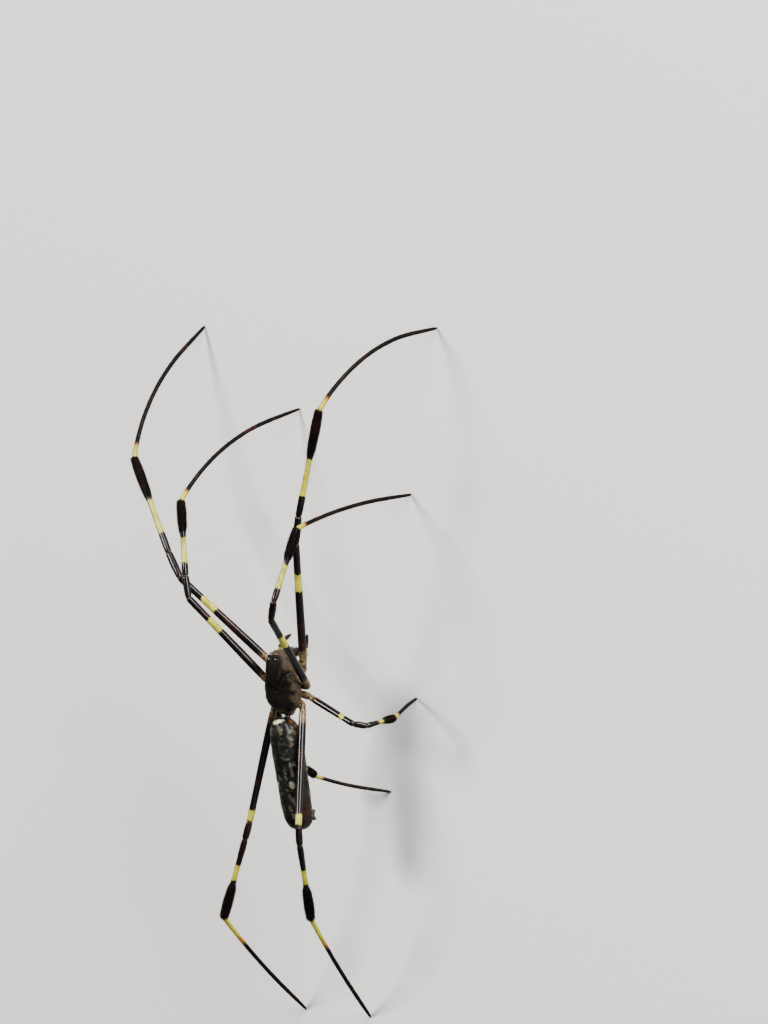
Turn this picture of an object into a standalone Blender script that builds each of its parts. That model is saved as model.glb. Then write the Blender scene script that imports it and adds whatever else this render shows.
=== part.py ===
"""Golden silk orb weaver, a life-size still model standing on its eight feet.

The spider faces +Y with its back to +Z and its right side at +X. It stands on the floor z = 0, and
the origin is at the middle of the floor under its whole outline. Sizes are in millimetres and are
turned into metres where each mesh is made. Each body part is one closed solid, and neighbours face
each other across a gap of 0.3 mm.
"""
import math

import bmesh
import bpy
import numpy as np
from mathutils import Matrix, Vector

MM = 0.001
GAP = 0.30

# Height of the body's middle line above the floor
STAND_HEIGHT = 14.4

# Prosoma: the shield over the head and thorax
CARAPACE_REAR = -3.3
CARAPACE_FRONT = 4.1
CARAPACE_RIM = -0.05
CARAPACE_HALF_WIDTH = ((0.00, 0.95), (0.07, 1.80), (0.20, 2.50), (0.34, 2.72), (0.47, 2.56),
                       (0.61, 2.14), (0.74, 1.86), (0.88, 1.70), (0.96, 1.44), (1.00, 1.15))
CARAPACE_TOP = ((0.00, 0.50), (0.07, 0.95), (0.20, 1.40), (0.34, 1.52), (0.47, 1.76),
                (0.61, 2.10), (0.74, 2.25), (0.88, 2.05), (0.96, 1.65), (1.00, 1.25))
CARAPACE_RINGS = 18
CARAPACE_SIDES = 22
CARAPACE_SQUARENESS = 0.82

# Sternum, the plate between the leg roots
STERNUM_OUTLINE = ((2.45, 0.30), (1.85, 0.42), (1.70, 0.82), (1.15, 1.06), (0.20, 1.22),
                   (-0.95, 1.12), (-1.80, 0.76), (-2.45, 0.20))
STERNUM_TOP = -0.75
STERNUM_TOP_WIDTH = 0.9
STERNUM_BOTTOM = -1.70
STERNUM_CROWN = 0.25
STERNUM_STEPS = 6

# Waist, with its radius along it as share of length and share of the full radius
PEDICEL_START = Vector((0.0, -2.72, -0.72))
PEDICEL_END = Vector((0.0, -3.70, -0.50))
PEDICEL_RADIUS = 0.33
PEDICEL_PROFILE = ((0.0, 1.0), (0.3, 0.86), (0.7, 0.86), (1.0, 1.0))
PEDICEL_SIDES = 10

# Abdomen, a long rounded cylinder
ABDOMEN_FRONT = -3.85
ABDOMEN_REAR = -17.6
ABDOMEN_FRONT_RADIUS = 2.14
ABDOMEN_REAR_RADIUS = 1.86
ABDOMEN_FLATNESS = 0.96
ABDOMEN_FRONT_LEVEL = 0.30
ABDOMEN_REAR_LEVEL = -1.10
ABDOMEN_FRONT_SHIFT = -0.12
ABDOMEN_REAR_SHIFT = 0.75
ABDOMEN_FRONT_POWER = 6.0
ABDOMEN_REAR_POWER = 8.0
ABDOMEN_END_ROOT = 2.2
ABDOMEN_CAP_TURN = 0.035
ABDOMEN_RINGS = 20
ABDOMEN_SIDES = 24

# Spinnerets under the rear of the abdomen: each place is reach from the middle, place behind the
# base's centre and size, and the profiles are share of length and share of the full radius
SPINNERET_Y = -15.9
SPINNERET_BASE_RADIUS = 0.80
SPINNERET_BASE_HEIGHT = 0.45
SPINNERET_BASE_PROFILE = ((0.0, 1.0), (0.45, 0.92), (1.0, 0.70))
SPINNERET_BASE_SIDES = 14
SPINNERET_LENGTH = 0.72
SPINNERET_RADIUS = 0.26
SPINNERET_PROFILE = ((0.0, 1.0), (0.45, 0.95), (0.8, 0.72), (1.0, 0.42))
SPINNERET_SIDES = 7
SPINNERET_PLACES = ((0.34, 0.30, 1.0), (0.20, -0.10, 0.7), (0.38, -0.42, 1.1))
SPINNERET_LEAN_IN = 0.30
SPINNERET_LEAN_BACK = 0.1

# Chelicerae and fangs
CHELICERA_TOP = Vector((0.64, 3.38, CARAPACE_RIM - GAP))
CHELICERA_BULGE = Vector((0.70, 3.86, -1.50))
CHELICERA_END = Vector((0.70, 3.92, -2.75))
CHELICERA_RADII = (0.44, 0.52, 0.54, 0.50, 0.36)
CHELICERA_SIDES = 12
FANG_ROUTE = (Vector((0.72, 3.90, -2.60)), Vector((0.66, 3.95, -2.98)), Vector((0.34, 3.66, -3.22)))
FANG_RADII = (0.17, 0.15, 0.11, 0.04)
FANG_SIDES = 8

# Palps, from the mouth round the outside of the chelicerae
PALP_ROUTE = (Vector((1.00, 2.55, -1.80)), Vector((1.50, 3.00, -1.92)), Vector((2.02, 3.62, -1.90)),
              Vector((2.06, 4.35, -1.85)), Vector((1.82, 5.10, -2.20)), Vector((1.40, 5.75, -2.90)))
PALP_RADII = (0.30, 0.36, 0.27, 0.26, 0.27, 0.26, 0.28, 0.24, 0.13)
PALP_SIDES = 9

# Eyes: four on a low mound in the middle and a pair at each side. An eye is a share of the shield's
# length and an angle round its arch, and a mound's limits are two shares and two angles
EYE_RADIUS = 0.17
EYE_MOUND_DEPTH = 0.22
EYE_MOUND_RISE = 0.08
MIDDLE_EYES = ((0.955, 73.0), (0.955, 107.0), (0.885, 74.0), (0.885, 106.0))
MIDDLE_MOUND = (0.850, 0.985, 62.0, 118.0)
SIDE_EYES = ((0.960, 20.0), (0.915, 22.0))
SIDE_MOUND = (0.885, 0.985, 11.0, 31.0)
MOUND_ROWS = 4
MOUND_COLUMNS = 6

# Pockets that hold the mounds: the arch's angle for each millimetre across, how far a pocket runs
# past the front as a share of the shield's length, and its height over the surface
POCKET_DEGREES = 22.0
POCKET_OVERRUN = 0.02
POCKET_HEIGHT = 1.0

# Legs: lengths of femur, patella, tibia, metatarsus and tarsus
LEG_LENGTHS = {1: (16.1, 3.6, 13.5, 17.2, 4.1),
               2: (14.5, 2.7, 9.3, 17.3, 4.2),
               3: (7.3, 1.6, 3.9, 6.5, 2.9),
               4: (14.6, 2.3, 10.6, 15.4, 3.7)}
LEG_THICKNESS = {1: 1.0, 2: 0.96, 3: 0.84, 4: 0.94}

# Where each coxa starts beside the sternum and ends at its femur, on the right side
COXA_START = {1: Vector((1.48, 1.35, -1.15)), 2: Vector((1.62, 0.08, -1.15)),
              3: Vector((1.56, -1.10, -1.25)), 4: Vector((1.26, -2.10, -1.05))}
COXA_END = {1: Vector((2.40, 2.25, -0.95)), 2: Vector((2.95, -0.10, -0.95)),
            3: Vector((2.93, -1.45, -1.25)), 4: Vector((2.30, -2.70, -0.65))}
COXA_BEND_SHARE = 0.55
COXA_BEND_BACK = 0.12
COXA_SHARES = (0.0, 0.25, 0.5, 0.75, 1.0)

# The pose: heading is the turn from straight ahead towards the leg's own side, and pitch is the
# rise above level, both in degrees. The five values are for the femur, the patella, the tibia, the
# start of the curved metatarsus, and its end with the tarsus.
LEG_POSE = {
    (1, "left"): ((48, 36, 33, 10, -8), (12, -7, -10, -25, -55)),
    (1, "right"): ((12, 18, 17, 17, 42), (15, 9, 0, -32, -84)),
    (2, "left"): ((31, 15, 12, -4, -43), (29, -7, -11, -41, -72)),
    (2, "right"): ((24, 28, 6, -8, -8), (47, 16, -23, -76, -89)),
    (3, "left"): ((172, 181, 206, 240, 255), (-24, -39, -43, -42, -45)),
    (3, "right"): ((115, 104, 66, -39, -83), (-2, -41, -64, -65, -61)),
    (4, "left"): ((164, 159, 157, 176, 182), (3, 1, -1, -45, -51)),
    (4, "right"): ((172, 184, 194, 188, 194), (15, -7, -23, -39, -47)),
}

# Radius along each segment, as share of length and millimetres
COXA_PROFILE = ((0.0, 0.40), (0.3, 0.50), (0.7, 0.56), (1.0, 0.47))
FEMUR_PROFILE = ((0.0, 0.42), (0.07, 0.48), (0.25, 0.51), (0.55, 0.48), (0.85, 0.44), (0.95, 0.45),
                 (1.0, 0.41))
PATELLA_PROFILE = ((0.0, 0.40), (0.3, 0.45), (0.7, 0.46), (1.0, 0.40))
TIBIA_PROFILE = ((0.0, 0.38), (0.08, 0.42), (0.28, 0.37), (0.52, 0.36), (0.66, 0.46), (0.90, 0.50),
                 (1.0, 0.40))
METATARSUS_PROFILE = ((0.0, 0.30), (0.12, 0.27), (0.5, 0.25), (1.0, 0.25))
TARSUS_PROFILE = ((0.0, 0.25), (0.5, 0.22), (1.0, 0.16))
LEG_SIDES = 12
FOOT_SIDES = 10
METATARSUS_STEPS = 9

# Mesh making: the edge angle that stays sharp, the distance at which points merge, and the slope
# above which a tube's rings are turned from +X instead of +Z
SHARP_ANGLE = 40.0
MERGE_DISTANCE = 0.002
STEEP_SLOPE = 0.9

# Colour, roughness and metallic value of each finish
FINISHES = {
    "carapace_hair": ((0.10, 0.085, 0.065, 1.0), 0.65, 0.0),
    "dark_cuticle": ((0.012, 0.009, 0.009, 1.0), 0.25, 0.0),
    "brown_cuticle": ((0.13, 0.085, 0.045, 1.0), 0.45, 0.0),
    "abdomen_skin": ((0.045, 0.040, 0.032, 1.0), 0.45, 0.0),
    "leg_cuticle": ((0.015, 0.010, 0.010, 1.0), 0.25, 0.0),
    "eye_lens": ((0.004, 0.004, 0.005, 1.0), 0.05, 0.0),
}


def clear_scene():
    """Remove every object of the scene that the script starts in."""
    for found in list(bpy.data.objects):
        bpy.data.objects.remove(found, do_unlink=True)


def make_finishes():
    """Return one Principled material for each named finish."""
    made = {}
    for name, (colour, roughness, metallic) in FINISHES.items():
        material = bpy.data.materials.new(name)
        material.use_nodes = True
        shader = material.node_tree.nodes["Principled BSDF"]
        shader.inputs["Base Color"].default_value = colour
        shader.inputs["Roughness"].default_value = roughness
        shader.inputs["Metallic"].default_value = metallic
        made[name] = material
    return made


def read_profile(profile, share):
    """Return the value of a profile of (share, value) pairs at a share of its length."""
    shares = [pair[0] for pair in profile]
    values = [pair[1] for pair in profile]
    return float(np.interp(share, shares, values))


def smooth_profile(profile, share):
    """Return a profile's value at a share, eased between its points so that no crease shows."""
    shares = [pair[0] for pair in profile]
    values = [pair[1] for pair in profile]
    slopes = np.gradient(values, shares)
    index = min(max(int(np.searchsorted(shares, share, side="right")) - 1, 0), len(shares) - 2)
    span = shares[index + 1] - shares[index]
    t = (share - shares[index]) / span
    return float((2 * t ** 3 - 3 * t ** 2 + 1) * values[index]
                 + (t ** 3 - 2 * t ** 2 + t) * span * slopes[index]
                 + (3 * t ** 2 - 2 * t ** 3) * values[index + 1]
                 + (t ** 3 - t ** 2) * span * slopes[index + 1])


def direction(heading, pitch, side):
    """Return the unit vector of a heading and a pitch in degrees on side -1 or +1."""
    turn = math.radians(heading)
    rise = math.radians(pitch)
    return Vector((side * math.cos(rise) * math.sin(turn), math.cos(rise) * math.cos(turn),
                   math.sin(rise)))


def mirrored(point, side):
    """Return a right-side point on the side -1 or +1."""
    return Vector((point.x * side, point.y, point.z))


def spline_points(route, count):
    """Return points evenly spread in parameter on a Catmull-Rom curve through a route."""
    padded = [2 * route[0] - route[1], *route, 2 * route[-1] - route[-2]]
    points = []
    for step in range(count):
        place = step / (count - 1) * (len(route) - 1)
        index = min(int(place), len(route) - 2)
        t = place - index
        a, b, c, d = padded[index:index + 4]
        points.append(0.5 * ((2 * b) + (c - a) * t + (2 * a - 5 * b + 4 * c - d) * t ** 2
                             + (3 * b - a - 3 * c + d) * t ** 3))
    return points


def tangents(points):
    """Return the unit direction of a line of points at each of them."""
    last = len(points) - 1
    return [(points[min(i + 1, last)] - points[max(i - 1, 0)]).normalized() for i in range(last + 1)]


def tube_rings(points, radii, sides):
    """Return rings of points round a line, turned with it so that they don't twist."""
    along = tangents(points)
    seed = Vector((0.0, 0.0, 1.0)) if abs(along[0].z) < STEEP_SLOPE else Vector((1.0, 0.0, 0.0))
    across = along[0].cross(seed).normalized()
    rings = []
    for centre, axis, radius in zip(points, along, radii):
        across = (across - axis * across.dot(axis)).normalized()
        up = across.cross(axis)
        ring = []
        for step in range(sides):
            angle = 2 * math.pi * step / sides
            ring.append(centre + radius * (math.cos(angle) * across + math.sin(angle) * up))
        rings.append(ring)
    return rings


def slide_to_plane(ring, axis, point, normal):
    """Return a ring moved along an axis until it lies in a plane."""
    return [spot + axis * ((point - spot).dot(normal) / axis.dot(normal)) for spot in ring]


def mesh_from_rings(name, rings):
    """Return a closed mesh skinned over rings of equal count, with a flat cap at each end."""
    shape = bmesh.new()
    rows = [[shape.verts.new(spot * MM) for spot in ring] for ring in rings]
    count = len(rows[0])
    for low, high in zip(rows, rows[1:]):
        for step in range(count):
            following = (step + 1) % count
            shape.faces.new((low[step], low[following], high[following], high[step]))
    shape.faces.new(list(reversed(rows[0])))
    shape.faces.new(rows[-1])
    bmesh.ops.recalc_face_normals(shape, faces=shape.faces)
    mesh = bpy.data.meshes.new(name)
    shape.to_mesh(mesh)
    shape.free()
    return mesh


def ball_mesh(name, centre, radius, segments=8, rings=6):
    """Return a ball's mesh at a place."""
    shape = bmesh.new()
    place = Matrix.Translation(centre * MM)
    bmesh.ops.create_uvsphere(shape, u_segments=segments, v_segments=rings, radius=radius * MM,
                              matrix=place)
    mesh = bpy.data.meshes.new(name)
    shape.to_mesh(mesh)
    shape.free()
    return mesh


def add_node(name, mesh, finish):
    """Return a new object of the model, shaded smooth with sharp edges kept."""
    mesh.shade_smooth()
    mesh.set_sharp_from_angle(angle=math.radians(SHARP_ANGLE))
    mesh.materials.append(finish)
    made = bpy.data.objects.new(name, mesh)
    bpy.context.scene.collection.objects.link(made)
    return made


def joined_mesh(name, meshes):
    """Return one closed mesh from overlapping closed meshes by a Boolean union."""
    base = bpy.data.objects.new(name + "_base", meshes[0])
    bpy.context.scene.collection.objects.link(base)
    parts = bpy.data.collections.new(name + "_parts")
    bpy.context.scene.collection.children.link(parts)
    for index, mesh in enumerate(meshes[1:]):
        parts.objects.link(bpy.data.objects.new(f"{name}_piece_{index}", mesh))
    union = base.modifiers.new("union", "BOOLEAN")
    union.operation = "UNION"
    union.operand_type = "COLLECTION"
    union.collection = parts
    return applied_mesh(name, base, list(parts.objects), parts)


def cut_mesh(name, mesh, cutters):
    """Return a mesh with the shapes of other meshes cut out of it."""
    base = bpy.data.objects.new(name + "_base", mesh)
    bpy.context.scene.collection.objects.link(base)
    tools = []
    for index, cutter in enumerate(cutters):
        tool = bpy.data.objects.new(f"{name}_cutter_{index}", cutter)
        tool.hide_render = True
        tool.display_type = "WIRE"
        bpy.context.scene.collection.objects.link(tool)
        cut = base.modifiers.new(f"cut_{index}", "BOOLEAN")
        cut.operation = "DIFFERENCE"
        cut.object = tool
        tools.append(tool)
    return applied_mesh(name, base, tools, None)


def applied_mesh(name, base, helpers, collection):
    """Return a copy of an object's mesh with its modifiers applied, and remove the helpers."""
    bpy.context.view_layer.update()
    evaluated = base.evaluated_get(bpy.context.evaluated_depsgraph_get())
    result = bpy.data.meshes.new_from_object(evaluated)
    result.name = name
    for helper in helpers:
        bpy.data.objects.remove(helper, do_unlink=True)
    bpy.data.objects.remove(base, do_unlink=True)
    if collection is not None:
        bpy.data.collections.remove(collection)
    return keep_largest(result)


def keep_largest(mesh):
    """Return a mesh with only its largest closed surface left."""
    shape = bmesh.new()
    shape.from_mesh(mesh)
    waiting = set(shape.verts)
    groups = []
    while waiting:
        front = [waiting.pop()]
        group = set(front)
        while front:
            for edge in front.pop().link_edges:
                for vert in edge.verts:
                    if vert in waiting:
                        waiting.discard(vert)
                        group.add(vert)
                        front.append(vert)
        groups.append(group)
    groups.sort(key=len, reverse=True)
    loose = [vert for group in groups[1:] for vert in group]
    bmesh.ops.delete(shape, geom=loose, context="VERTS")
    bmesh.ops.remove_doubles(shape, verts=shape.verts, dist=MERGE_DISTANCE * MM)
    bmesh.ops.dissolve_degenerate(shape, edges=shape.edges, dist=MERGE_DISTANCE * MM)
    bmesh.ops.recalc_face_normals(shape, faces=shape.faces)
    shape.to_mesh(mesh)
    shape.free()
    return mesh


def carapace_point(share, angle):
    """Return a point of the shield at a share of its length and an angle round its arch."""
    half_width = smooth_profile(CARAPACE_HALF_WIDTH, share)
    top = smooth_profile(CARAPACE_TOP, share)
    arc = math.radians(angle)
    reach = math.copysign(abs(math.cos(arc)) ** CARAPACE_SQUARENESS, math.cos(arc))
    rise = max(math.sin(arc), 0.0) ** CARAPACE_SQUARENESS
    y = CARAPACE_REAR + (CARAPACE_FRONT - CARAPACE_REAR) * share
    return Vector((half_width * reach, y, CARAPACE_RIM + (top - CARAPACE_RIM) * rise))


def lifted_point(share, angle, lift):
    """Return a point at a height over the shield's surface, along its outward normal."""
    share_step, angle_step = 0.01, 2.0
    middle = min(share, 1.0 - share_step)
    ahead = carapace_point(middle + share_step, angle)
    behind = carapace_point(middle - share_step, angle)
    after = carapace_point(share, min(angle + angle_step, 179.0))
    before = carapace_point(share, max(angle - angle_step, 1.0))
    outward = (ahead - behind).cross(after - before).normalized()
    return carapace_point(share, angle) + outward * lift


def carapace_mesh():
    """Return the shield over head and thorax, flat below and arched above."""
    rings = []
    for step in range(CARAPACE_RINGS):
        share = 0.5 - 0.5 * math.cos(math.pi * step / (CARAPACE_RINGS - 1))
        angles = [180.0 * turn / CARAPACE_SIDES for turn in range(CARAPACE_SIDES + 1)]
        rings.append([carapace_point(share, angle) for angle in angles])
    return mesh_from_rings("carapace", rings)


def shield_patch(name, limits, low, high):
    """Return a closed plate that follows the shield between two heights over its surface."""
    start, end, from_angle, to_angle = limits
    rows, columns = MOUND_ROWS, MOUND_COLUMNS
    shape = bmesh.new()
    sheets = []
    for lift in (low, high):
        sheet = []
        for row in range(rows + 1):
            share = start + (end - start) * row / rows
            line = []
            for column in range(columns + 1):
                angle = from_angle + (to_angle - from_angle) * column / columns
                line.append(shape.verts.new(lifted_point(share, angle, lift) * MM))
            sheet.append(line)
        sheets.append(sheet)
    below, above = sheets
    for row in range(rows):
        for column in range(columns):
            for sheet in sheets:
                corners = (sheet[row][column], sheet[row][column + 1],
                           sheet[row + 1][column + 1], sheet[row + 1][column])
                shape.faces.new((corners[0], corners[1], corners[2]))
                shape.faces.new((corners[0], corners[2], corners[3]))
    edge = [(0, c) for c in range(columns)] + [(r, columns) for r in range(rows)]
    edge += [(rows, c) for c in range(columns, 0, -1)] + [(r, 0) for r in range(rows, 0, -1)]
    for (row, column), (next_row, next_column) in zip(edge, edge[1:] + edge[:1]):
        shape.faces.new((below[row][column], below[next_row][next_column],
                         above[next_row][next_column], above[row][column]))
    bmesh.ops.recalc_face_normals(shape, faces=shape.faces)
    mesh = bpy.data.meshes.new(name)
    shape.to_mesh(mesh)
    shape.free()
    return mesh


def mirror_limits(limits):
    """Return a patch's limits on the other side of the middle line."""
    start, end, from_angle, to_angle = limits
    return (start, end, 180.0 - to_angle, 180.0 - from_angle)


def widened(limits, margin):
    """Return a patch's limits grown by about a margin in millimetres on each side."""
    start, end, from_angle, to_angle = limits
    length = CARAPACE_FRONT - CARAPACE_REAR
    return (start - margin / length, min(end + margin / length, 1.0) + POCKET_OVERRUN,
            from_angle - POCKET_DEGREES * margin, to_angle + POCKET_DEGREES * margin)


def build_head(finishes):
    """Make the shield with its eye mounds set in shallow pockets."""
    left_eyes = tuple((share, 180.0 - angle) for share, angle in SIDE_EYES)
    groups = (("eyes_middle", MIDDLE_MOUND, MIDDLE_EYES),
              ("eyes_right", SIDE_MOUND, SIDE_EYES),
              ("eyes_left", mirror_limits(SIDE_MOUND), left_eyes))
    pockets = []
    for name, limits, eyes in groups:
        pieces = [shield_patch(name, limits, -EYE_MOUND_DEPTH, EYE_MOUND_RISE)]
        for index, (share, angle) in enumerate(eyes):
            centre = lifted_point(share, angle, EYE_MOUND_RISE)
            pieces.append(ball_mesh(f"{name}_{index}", centre, EYE_RADIUS))
        add_node(name, joined_mesh(name, pieces), finishes["eye_lens"])
        floor = -EYE_MOUND_DEPTH - GAP
        pockets.append(shield_patch("pocket", widened(limits, GAP), floor, POCKET_HEIGHT))
    add_node("carapace", cut_mesh("carapace", carapace_mesh(), pockets), finishes["carapace_hair"])


def build_sternum(finishes):
    """Make the shield-shaped plate between the leg roots, crowned below."""
    rings = []
    for y, half_width in STERNUM_OUTLINE:
        ring = []
        for step in range(STERNUM_STEPS + 1):
            reach = math.cos(math.pi * step / STERNUM_STEPS)
            crown = STERNUM_CROWN * (1.0 - reach * reach)
            ring.append(Vector((half_width * reach, y, STERNUM_BOTTOM - crown)))
        for reach in (-STERNUM_TOP_WIDTH, STERNUM_TOP_WIDTH):
            ring.append(Vector((half_width * reach, y, STERNUM_TOP)))
        rings.append(ring)
    add_node("sternum", mesh_from_rings("sternum", rings), finishes["dark_cuticle"])


def build_pedicel(finishes):
    """Make the narrow waist between the shield's rear and the abdomen."""
    points = [PEDICEL_START.lerp(PEDICEL_END, share) for share, _ in PEDICEL_PROFILE]
    radii = [PEDICEL_RADIUS * thick for _, thick in PEDICEL_PROFILE]
    rings = tube_rings(points, radii, PEDICEL_SIDES)
    add_node("pedicel", mesh_from_rings("pedicel", rings), finishes["brown_cuticle"])


def abdomen_section(share):
    """Return the abdomen's sideways shift, middle height and half width at a share of its length."""
    from_middle = abs(2.0 * share - 1.0)
    power = ABDOMEN_FRONT_POWER if share < 0.5 else ABDOMEN_REAR_POWER
    fullness = (1.0 - from_middle ** power) ** (1.0 / ABDOMEN_END_ROOT)
    half_width = ABDOMEN_FRONT_RADIUS + (ABDOMEN_REAR_RADIUS - ABDOMEN_FRONT_RADIUS) * share
    shift = ABDOMEN_FRONT_SHIFT + (ABDOMEN_REAR_SHIFT - ABDOMEN_FRONT_SHIFT) * share
    level = ABDOMEN_FRONT_LEVEL + (ABDOMEN_REAR_LEVEL - ABDOMEN_FRONT_LEVEL) * share
    return shift, level, half_width * fullness


def build_abdomen(finishes):
    """Make the long abdomen, blunt at both ends."""
    rings = []
    for step in range(ABDOMEN_RINGS):
        turn = ABDOMEN_CAP_TURN + (1.0 - 2.0 * ABDOMEN_CAP_TURN) * step / (ABDOMEN_RINGS - 1)
        share = 0.5 - 0.5 * math.cos(math.pi * turn)
        shift, level, half_width = abdomen_section(share)
        y = ABDOMEN_FRONT + (ABDOMEN_REAR - ABDOMEN_FRONT) * share
        ring = []
        for side in range(ABDOMEN_SIDES):
            angle = 2 * math.pi * side / ABDOMEN_SIDES
            ring.append(Vector((shift + half_width * math.cos(angle), y,
                                level + half_width * ABDOMEN_FLATNESS * math.sin(angle))))
        rings.append(ring)
    add_node("abdomen", mesh_from_rings("abdomen", rings), finishes["abdomen_skin"])


def build_spinnerets(finishes):
    """Make the cluster of spinnerets: a low base with three pairs of small cones."""
    share = (SPINNERET_Y - ABDOMEN_FRONT) / (ABDOMEN_REAR - ABDOMEN_FRONT)
    shift, level, half_width = abdomen_section(share)
    top = level - half_width * ABDOMEN_FLATNESS - GAP
    points = [Vector((shift, SPINNERET_Y, top - SPINNERET_BASE_HEIGHT * share))
              for share, _ in SPINNERET_BASE_PROFILE]
    radii = [SPINNERET_BASE_RADIUS * thick for _, thick in SPINNERET_BASE_PROFILE]
    base = tube_rings(points, radii, SPINNERET_BASE_SIDES)
    pieces = [mesh_from_rings("spinneret_base", base)]
    for reach, behind, size in SPINNERET_PLACES:
        for side in (-1, 1):
            root = Vector((shift + side * reach, SPINNERET_Y + behind, top - SPINNERET_BASE_HEIGHT / 2))
            lean = Vector((-side * SPINNERET_LEAN_IN, behind / 2 - SPINNERET_LEAN_BACK, -1.0))
            step = lean.normalized() * SPINNERET_LENGTH * size
            line = [root + step * share for share, _ in SPINNERET_PROFILE]
            thick = [SPINNERET_RADIUS * size * thickness for _, thickness in SPINNERET_PROFILE]
            pieces.append(mesh_from_rings("spinneret", tube_rings(line, thick, SPINNERET_SIDES)))
    add_node("spinnerets", joined_mesh("spinnerets", pieces), finishes["brown_cuticle"])


def build_mouthparts(finishes, side_name, side):
    """Make one chelicera with its folded fang, and the palp beside it."""
    route = [mirrored(spot, side) for spot in (CHELICERA_TOP, CHELICERA_BULGE, CHELICERA_END)]
    jaw = tube_rings(spline_points(route, len(CHELICERA_RADII)), CHELICERA_RADII, CHELICERA_SIDES)
    upward = Vector((0.0, 0.0, 1.0))
    jaw[0] = slide_to_plane(jaw[0], upward, route[0], upward)
    fang_route = [mirrored(spot, side) for spot in FANG_ROUTE]
    fang = tube_rings(spline_points(fang_route, len(FANG_RADII)), FANG_RADII, FANG_SIDES)
    name = f"chelicera_{side_name}"
    pieces = [mesh_from_rings(name, jaw), mesh_from_rings(name + "_fang", fang)]
    add_node(name, joined_mesh(name, pieces), finishes["dark_cuticle"])
    palp_route = [mirrored(spot, side) for spot in PALP_ROUTE]
    palp = tube_rings(spline_points(palp_route, len(PALP_RADII)), PALP_RADII, PALP_SIDES)
    add_node(f"palp_{side_name}", mesh_from_rings(f"palp_{side_name}", palp),
             finishes["brown_cuticle"])


def metatarsus_line(start_way, end_way):
    """Return points of an arch one unit long that turns evenly from one direction to another."""
    angle = start_way.angle(end_way)
    points = [Vector((0.0, 0.0, 0.0))]
    for step in range(METATARSUS_STEPS - 1):
        t = (step + 0.5) / (METATARSUS_STEPS - 1)
        way = (math.sin((1 - t) * angle) * start_way + math.sin(t * angle) * end_way) / math.sin(angle)
        points.append(points[-1] + way / (METATARSUS_STEPS - 1))
    return points


def leg_centrelines(number, side_name):
    """Return the centreline of each segment of a leg, from the coxa to the foot on the floor."""
    side = 1 if side_name == "right" else -1
    headings, pitches = LEG_POSE[number, side_name]
    ways = [direction(heading, pitch, side) for heading, pitch in zip(headings, pitches)]
    femur, patella, tibia, metatarsus, tarsus = LEG_LENGTHS[number]
    root = mirrored(COXA_START[number], side)
    base = mirrored(COXA_END[number], side)
    outward = (base - root).normalized()
    bend = root + outward * (base - root).length * COXA_BEND_SHARE - ways[0] * COXA_BEND_BACK
    coxa = [root.lerp(bend, t).lerp(bend.lerp(base, t), t) for t in COXA_SHARES]
    knee = base + ways[0] * femur
    shin = knee + ways[1] * patella
    ankle = shin + ways[2] * tibia
    arch = metatarsus_line(ways[3], ways[4])
    drop = -(arch[-1].z * metatarsus + ways[4].z * tarsus)
    fit = (ankle.z + STAND_HEIGHT) / drop
    foot_arch = [ankle + spot * metatarsus * fit for spot in arch]
    toe = foot_arch[-1] + ways[4] * tarsus * fit
    return {"coxa": coxa, "femur": [base, knee], "patella": [knee, shin], "tibia": [shin, ankle],
            "metatarsus": foot_arch, "tarsus": [foot_arch[-1], toe]}


def segment_rings(line, profile, thickness, sides):
    """Return a segment's rings along its centreline with radii read from its profile."""
    if len(line) == 2:
        shares = [pair[0] for pair in profile]
        points = [line[0].lerp(line[1], share) for share in shares]
    else:
        shares = [step / (len(line) - 1) for step in range(len(line))]
        points = line
    radii = [read_profile(profile, share) * thickness for share in shares]
    return tube_rings(points, radii, sides)


def build_leg(number, side_name, finishes):
    """Make the six segments of a leg, mitred where they face each other."""
    lines = leg_centrelines(number, side_name)
    thickness = LEG_THICKNESS[number]
    plans = (("coxa", COXA_PROFILE, LEG_SIDES), ("femur", FEMUR_PROFILE, LEG_SIDES),
             ("patella", PATELLA_PROFILE, LEG_SIDES), ("tibia", TIBIA_PROFILE, LEG_SIDES),
             ("metatarsus", METATARSUS_PROFILE, FOOT_SIDES), ("tarsus", TARSUS_PROFILE, FOOT_SIDES))
    for index, (segment, profile, sides) in enumerate(plans):
        line = lines[segment]
        rings = segment_rings(line, profile, thickness, sides)
        first_way = (line[1] - line[0]).normalized()
        last_way = (line[-1] - line[-2]).normalized()
        if index > 0:
            before = lines[plans[index - 1][0]]
            normal = ((before[-1] - before[-2]).normalized() + first_way).normalized()
            rings[0] = slide_to_plane(rings[0], first_way, line[0] + normal * GAP / 2, normal)
        if index < len(plans) - 1:
            after = lines[plans[index + 1][0]]
            normal = ((after[1] - after[0]).normalized() + last_way).normalized()
            rings[-1] = slide_to_plane(rings[-1], last_way, line[-1] - normal * GAP / 2, normal)
        else:
            floor = Vector((0.0, 0.0, -STAND_HEIGHT))
            rings[-1] = slide_to_plane(rings[-1], last_way, floor, Vector((0.0, 0.0, 1.0)))
        name = f"leg{number}_{side_name}_{segment}"
        finish = "brown_cuticle" if segment == "coxa" else "leg_cuticle"
        add_node(name, mesh_from_rings(name, rings), finishes[finish])


def place_on_floor():
    """Move every mesh so that the model stands on z = 0 with its outline centred on the origin."""
    shapes = [found for found in bpy.data.objects if found.type == "MESH"]
    corners = np.array([vert.co[:] for found in shapes for vert in found.data.vertices])
    low, high = corners.min(axis=0), corners.max(axis=0)
    shift = Vector((-(low[0] + high[0]) / 2, -(low[1] + high[1]) / 2, -low[2]))
    for found in shapes:
        found.data.transform(Matrix.Translation(shift))


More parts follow.
